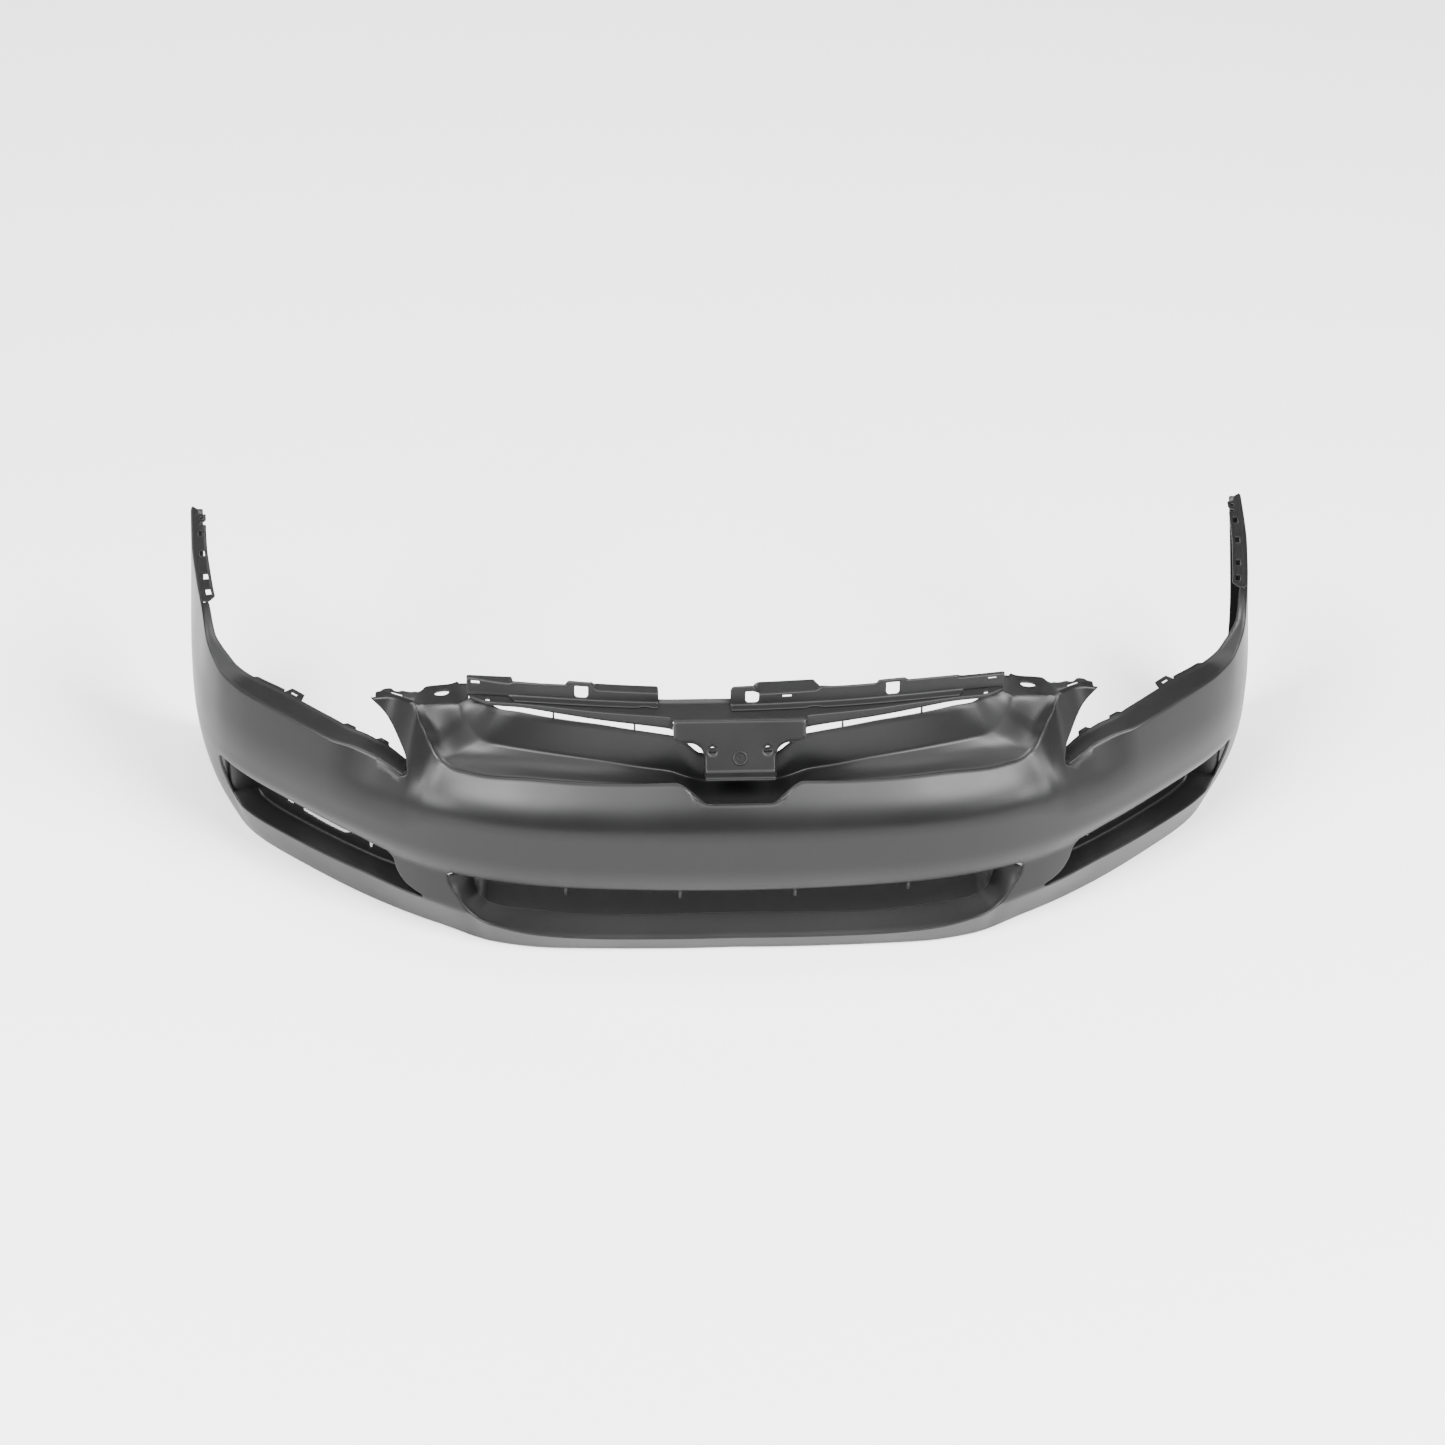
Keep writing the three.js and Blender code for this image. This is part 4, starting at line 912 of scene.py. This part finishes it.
def build_fender_flange(side, left):
    def surface(s, w):
        s, w = same_shape(s, w)
        dip = 1.6 * smooth_step(6, 9, w) * (1 - smooth_step(21, 24, w))
        return plan_point(s, shoulder_depth(s, WING_SEAM) + w, WING_SEAM - dip)
    tip = WING_TIP - 2
    outline = dense(rounded([
        (1075, ROLL), (tip, ROLL), (tip, 10), (LOOP_TAB[1] + 4, 12), (LOOP_TAB[1], FLANGE_WIDTH),
        (LOOP_TAB[0], FLANGE_WIDTH), (LOOP_TAB[0] - 5, 14), (LOOP_TAB[0] - 9, 14),
        (LOOP_TAB[0] - 13, FLANGE_WIDTH), (1085, FLANGE_WIDTH), (1075, 13)], 2, 4), 4)
    holes = [rectangle(s - 8.5, 11, s + 8.5, 21, 1.5) for s in WINDOW_STATIONS]
    holes.append(disc(sum(LOOP_TAB) / 2, 17.5, 4, 16))
    columns, rows = np.arange(1078, 1332, 5), np.arange(5.5, 24, 2)
    verts, polygons = sheet_shell(surface, outline, columns, rows, holes, 1.0)
    add_mesh(f"fender_edge_{side}", verts, polygons, primer, f"fender_flange_{side}", "primer", left)


def build_arch_flange(side, left):
    def surface(h, w):
        h, w = same_shape(h, w)
        s = arch_station(h)
        return plan_point(s, skin_depth(s, h) - w, h)
    verts, polygons = lattice_shell(surface, line(1.5, WING_SEAM - 4, 80), line(-20, -ROLL, 8))
    add_mesh(f"arch_edge_{side}", verts, polygons, primer, f"wheel_arch_flange_{side}", "primer", left)


# Lower opening and fog lamp pockets

DUCT_PITCH = 40.0
DUCT = [
    [0, 0, 36, 0, 58, 48, 0, 150, 42],
    [191, 191, 37, 190, 55, 49, 190, 150, 44],
    [300, 300, 42, 284, 62, 49.5, 284, 150, 45],
    [335, 335, 45, 315, 68, 50, 318, 150, 45],
    [400, 400, 56, 381, 81, 50, 380, 150, 46],
    [428, 428, 62, 404, 91, 51, 402, 150, 50],
    [446, 446, 75, 421, 98, 66, 415, 150, 60],
    [464, 464, 98, 428, 96, 98, 428, 150, 98],
    [482, 482, 126, 431, 93, 128, 431, 150, 128],
]


def build_duct():
    sections = []
    for u, s, h, *rest in DUCT:
        rim = plan_point(s, lower_depth(s, h) + ROLL, h)
        step = rest[:3]
        low = [step[0], step[1] + 1.5, step[2] - 4]
        sections.append([u, *rim, *step, *low, *rest[3:]])
    base = ruled(sections, (3, 1.5, 3), DUCT_PITCH)
    edge = lower_outline()
    half = [p for p in edge if 0 < p[0] and p[1] < 131]
    border = rolled_border([(-s, h) for s, h in reversed(half)] + half)
    surface = snapped(base, border, 0.5 * DUCT_PITCH)
    columns = np.unique(np.concatenate([line(0, 300, 46), line(300, 482, 60)]))
    columns = np.concatenate([-columns[:0:-1], columns])
    rows = np.array(bend_rows(DUCT_PITCH, 4, 0.12, 5, 5))
    verts, polygons = lattice_shell(surface, columns, rows)
    add_mesh("intake_floor", verts, polygons, moulded, "lower_duct", "moulded_plastic")


def build_bar_return():
    def surface(s, w):
        s, w = same_shape(s, w)
        rise = 4 * smooth_step(ROLL, 14, w)
        return plan_point(s, bar_tuck(s) + w, bar_edge(s) + rise)
    verts, polygons = lattice_shell(surface, line(-476, 476, 150), line(ROLL, 34, 12))
    add_mesh("bar_underside", verts, polygons, moulded, "bar_return_flange", "moulded_plastic")


def wedge(profile, x, width, bevel):
    """Upright rib across x over a profile of [y, z], with bevelled edges."""
    p = np.array(profile, float)
    middle = p.mean(axis=0)
    way = middle - p
    small = p + way / np.linalg.norm(way, axis=1)[:, None] * bevel
    layers = [(-width / 2, small), (-width / 2 + bevel, p), (width / 2 - bevel, p), (width / 2, small)]
    verts = [(x + dx, y, z) for dx, layer in layers for y, z in layer]
    n = len(profile)
    polygons = [tuple(range(n))[::-1], tuple(range(3 * n, 4 * n))]
    for k in range(3):
        low, high = k * n, (k + 1) * n
        polygons += [(low + i, low + (i + 1) % n, high + (i + 1) % n, high + i) for i in range(n)]
    area = np.sum(p[:, 0] * np.roll(p[:, 1], -1) - np.roll(p[:, 0], -1) * p[:, 1])
    return np.array(verts), polygons if area > 0 else [tuple(reversed(f)) for f in polygons]


def build_posts_and_struts():
    for spot, x in (("inner", 94.0), ("outer", 280.0)):
        behind = float(plan_point(x, bar_tuck(x), 0)[1])
        top = float(bar_edge(x)) + 1.1
        profile = [(behind + 6, top - 22), (behind + 12, top - 22), (behind + 32, top - 8), (behind + 32, top),
                   (behind + 6, top)]
        for side, left in (("right", False), ("left", True)):
            add_mesh(f"post_{spot}_{side}", *wedge(profile, x, 5.5, 0.8), moulded, f"duct_post_{spot}_{side}",
                     "moulded_plastic", left)
    wall = track([[row[7], row[8], row[9]] for row in RECESS])
    beam = track([row[:3] for row in BEAM])
    for spot, x in (("inner", 168.0), ("outer", 298.0)):
        y, low = wall(x)
        front, high = beam(x)
        profile = [(y - 0.5, low - 0.6), (y + 5, low - 0.6), (front + 6, high + 0.5), (front + 0.4, high + 0.5)]
        for side, left in (("right", False), ("left", True)):
            add_mesh(f"strut_{spot}_{side}", *wedge(profile, x, 3.0, 0.4), moulded,
                     f"grille_strut_{spot}_{side}", "moulded_plastic", left)


POCKET_PITCH = 40.0
POCKET_HOLE = [(806, 150), (806, 92), (760, 88), (716, 88), (700, 96), (688, 101), (664, 102), (662, 82), (656, 82),
               (652, 96), (640, 98), (634, 110), (634, 150)]
POCKET_SMALL_HOLE = [(826, 95), (842, 95), (842, 108), (826, 108)]
POCKET_BEND = 6.0


def pocket_depth(s):
    return 1 + 45 * smooth_step(520, 556, s) * (1 - smooth_step(922, 944, s))


def pocket_floor(s):
    return chin_edge(s) - 7


def pocket_surface(s, v):
    """Floor behind the lower rim for v below 0, back wall above."""
    s, v = same_shape(s, v)
    rim = chin_edge(s)
    start = lower_depth(s, rim) + ROLL
    wall = np.maximum(start, bar_tuck(s) + 6.2) + pocket_depth(s)
    t = np.clip((v + POCKET_BEND) / (2 * POCKET_BEND), 0, 1)
    reach = POCKET_BEND / POCKET_PITCH
    back = np.where(v < -POCKET_BEND, 1 + v / POCKET_PITCH, 1 - reach + reach * (2 * t - t * t))
    rise = np.where(v > POCKET_BEND, v, np.where(v < -POCKET_BEND, 0, POCKET_BEND * t * t))
    depth = start + (wall - start) * np.clip(back, 0, 1)
    height = rim + (pocket_floor(s) - rim) * np.clip(back, 0, 1) + rise
    return plan_point(s, depth, height)


def build_pocket(side, left):
    outline = dense([(514, -POCKET_PITCH), (956, -POCKET_PITCH), (956, 105), (514, 105)], 6)
    large, small = (rounded([(s, h - float(pocket_floor(s))) for s, h in hole], 3, 4)
                    for hole in (POCKET_HOLE, POCKET_SMALL_HOLE))
    rows = sorted(set(np.arange(-36, -6, 5.0)) | set(line(-6, 6, 9)) | set(np.arange(10, 104, 6.0)))
    columns = sorted({*np.arange(518, 560, 3.0), *np.arange(560, 920, 6.0), *np.arange(920, 954, 3.0)})
    verts, polygons = sheet_shell(pocket_surface, outline, columns, rows, [dense(large, 5), small], 1.5)
    add_mesh(f"fog_well_{side}", verts, polygons, moulded, f"fog_pocket_{side}", "moulded_plastic", left)


def build_lower_flange():
    def surface(s, w):
        s, w = same_shape(s, w)
        return plan_point(s, foot_depth(s) + w, np.full_like(w, INNER_WALL))
    outline = dense([(-420, ROLL), (420, ROLL), (420, 25), (-420, 25)], 8)
    holes = [disc(s, 15, 4.5, 16) for s in (-340, -200, -60, 60, 200, 340)]
    verts, polygons = sheet_shell(surface, outline, np.arange(-416, 417, 8), (8, 12, 18, 22), holes, 1.5)
    add_mesh("undertray_flange", verts, polygons, moulded, "lower_flange", "moulded_plastic")


build_recess()
build_beam()
build_rail("left", LEFT_RAIL, LEFT_BENDS)
build_rail("right", RIGHT_RAIL, RIGHT_BENDS)
build_plate()
for side, left in (("right", False), ("left", True)):
    build_horn_flange(side, left)
    build_shelf(side, left)
    build_fender_flange(side, left)
    build_arch_flange(side, left)
    build_pocket(side, left)
build_duct()
build_bar_return()
build_posts_and_struts()
build_lower_flange()


# Studio ------------------------------------------------------------------------------------------------

def build_floor():
    size = 30.0
    mesh = bpy.data.meshes.new("floor")
    steps = line(0, math.pi / 2, 16)
    profile = [(-12.0, 0.0)] + [(9 + 3 * math.sin(a), 3 - 3 * math.cos(a)) for a in steps] + [(12.0, 14.0)]
    verts = [(x, y, z - 0.0005) for x in (-size, size) for y, z in profile]
    count = len(profile)
    mesh.from_pydata(verts, [], [(i, i + count, i + count + 1, i + 1) for i in range(count - 1)])
    mesh.polygons.foreach_set("use_smooth", [True] * len(mesh.polygons))
    floor = bpy.data.objects.new("floor", mesh)
    bpy.context.scene.collection.objects.link(floor)
    material = bpy.data.materials.new("pale_floor")
    material.use_nodes = True
    nodes, links = material.node_tree.nodes, material.node_tree.links
    shader = nodes["Principled BSDF"]
    shader.inputs["Roughness"].default_value = 0.9
    shader.inputs["Specular IOR Level"].default_value = 0.1
    noise = nodes.new("ShaderNodeTexNoise")
    noise.inputs["Scale"].default_value = 3.0
    ramp = nodes.new("ShaderNodeMix")
    ramp.data_type = "RGBA"
    ramp.inputs["A"].default_value = (0.86, 0.86, 0.86, 1)
    ramp.inputs["B"].default_value = (0.88, 0.88, 0.88, 1)
    links.new(noise.outputs["Fac"], ramp.inputs["Factor"])
    links.new(ramp.outputs["Result"], shader.inputs["Base Color"])
    mesh.materials.append(material)


def add_area(name, place, target, size, power):
    light = bpy.data.lights.new(name, "AREA")
    light.shape = "RECTANGLE"
    light.size, light.size_y = size
    light.energy = power
    lamp = bpy.data.objects.new(name, light)
    lamp.location = place
    lamp.rotation_euler = (Vector(target) - Vector(place)).to_track_quat("-Z", "Y").to_euler()
    bpy.context.scene.collection.objects.link(lamp)


def build_light():
    """Two large softboxes overhead in front, one overhead behind, a small one low behind and a weak fill."""
    world = bpy.data.worlds.new("studio")
    world.use_nodes = True
    background = world.node_tree.nodes["Background"]
    background.inputs["Color"].default_value = (1, 1, 1, 1)
    background.inputs["Strength"].default_value = 0.08
    bpy.context.scene.world = world
    add_area("left_softbox", (-3.0, -3.6, 6.6), (0, 0, 0.2), (3.4, 2.6), 1450)
    add_area("right_softbox", (3.4, -3.2, 6.6), (0, 0, 0.2), (3.4, 2.6), 1550)
    add_area("back_softbox", (0, 1.5, 7.0), (0, 2.5, 0), (5.0, 3.0), 380)
    add_area("left_side", (-3.8, -2.7, 2.4), (0, 0, 0.3), (1.6, 1.2), 220)
    add_area("right_side", (3.8, -2.7, 2.4), (0, 0, 0.3), (1.6, 1.2), 220)
    add_area("low_softbox", (-3.0, 4.0, 2.6), (0.6, 0, 0.3), (1.6, 1.2), 40)


def build_camera():
    """Camera in front of and above the cover, looking a little from the left, almost level."""
    elevation, azimuth, roll = math.radians(40), math.radians(-4.45), math.radians(1.99)
    distance, lens, slide, lift = 8.381, 125.5, -0.0111, 0.0394
    target = Vector((0, (300 + DEPTH_OFFSET) * MM, 0.2))
    back = Vector((math.sin(azimuth) * math.cos(elevation), -math.cos(azimuth) * math.cos(elevation),
                   math.sin(elevation)))
    across = (-back).cross(Vector((0, 0, 1))).normalized()
    up = across.cross(-back)
    right = math.cos(roll) * across + math.sin(roll) * up
    over = -math.sin(roll) * across + math.cos(roll) * up
    place = target + back * distance + right * slide + over * lift
    data = bpy.data.cameras.new("camera")
    data.lens, data.sensor_width, data.sensor_fit = lens, 36.0, "HORIZONTAL"
    data.clip_end = 100
    camera = bpy.data.objects.new("camera", data)
    turn = Matrix((right, over, back)).transposed().to_4x4()
    camera.matrix_world = Matrix.Translation(place) @ turn
    bpy.context.scene.collection.objects.link(camera)
    bpy.context.scene.camera = camera


build_floor()
build_light()
build_camera()
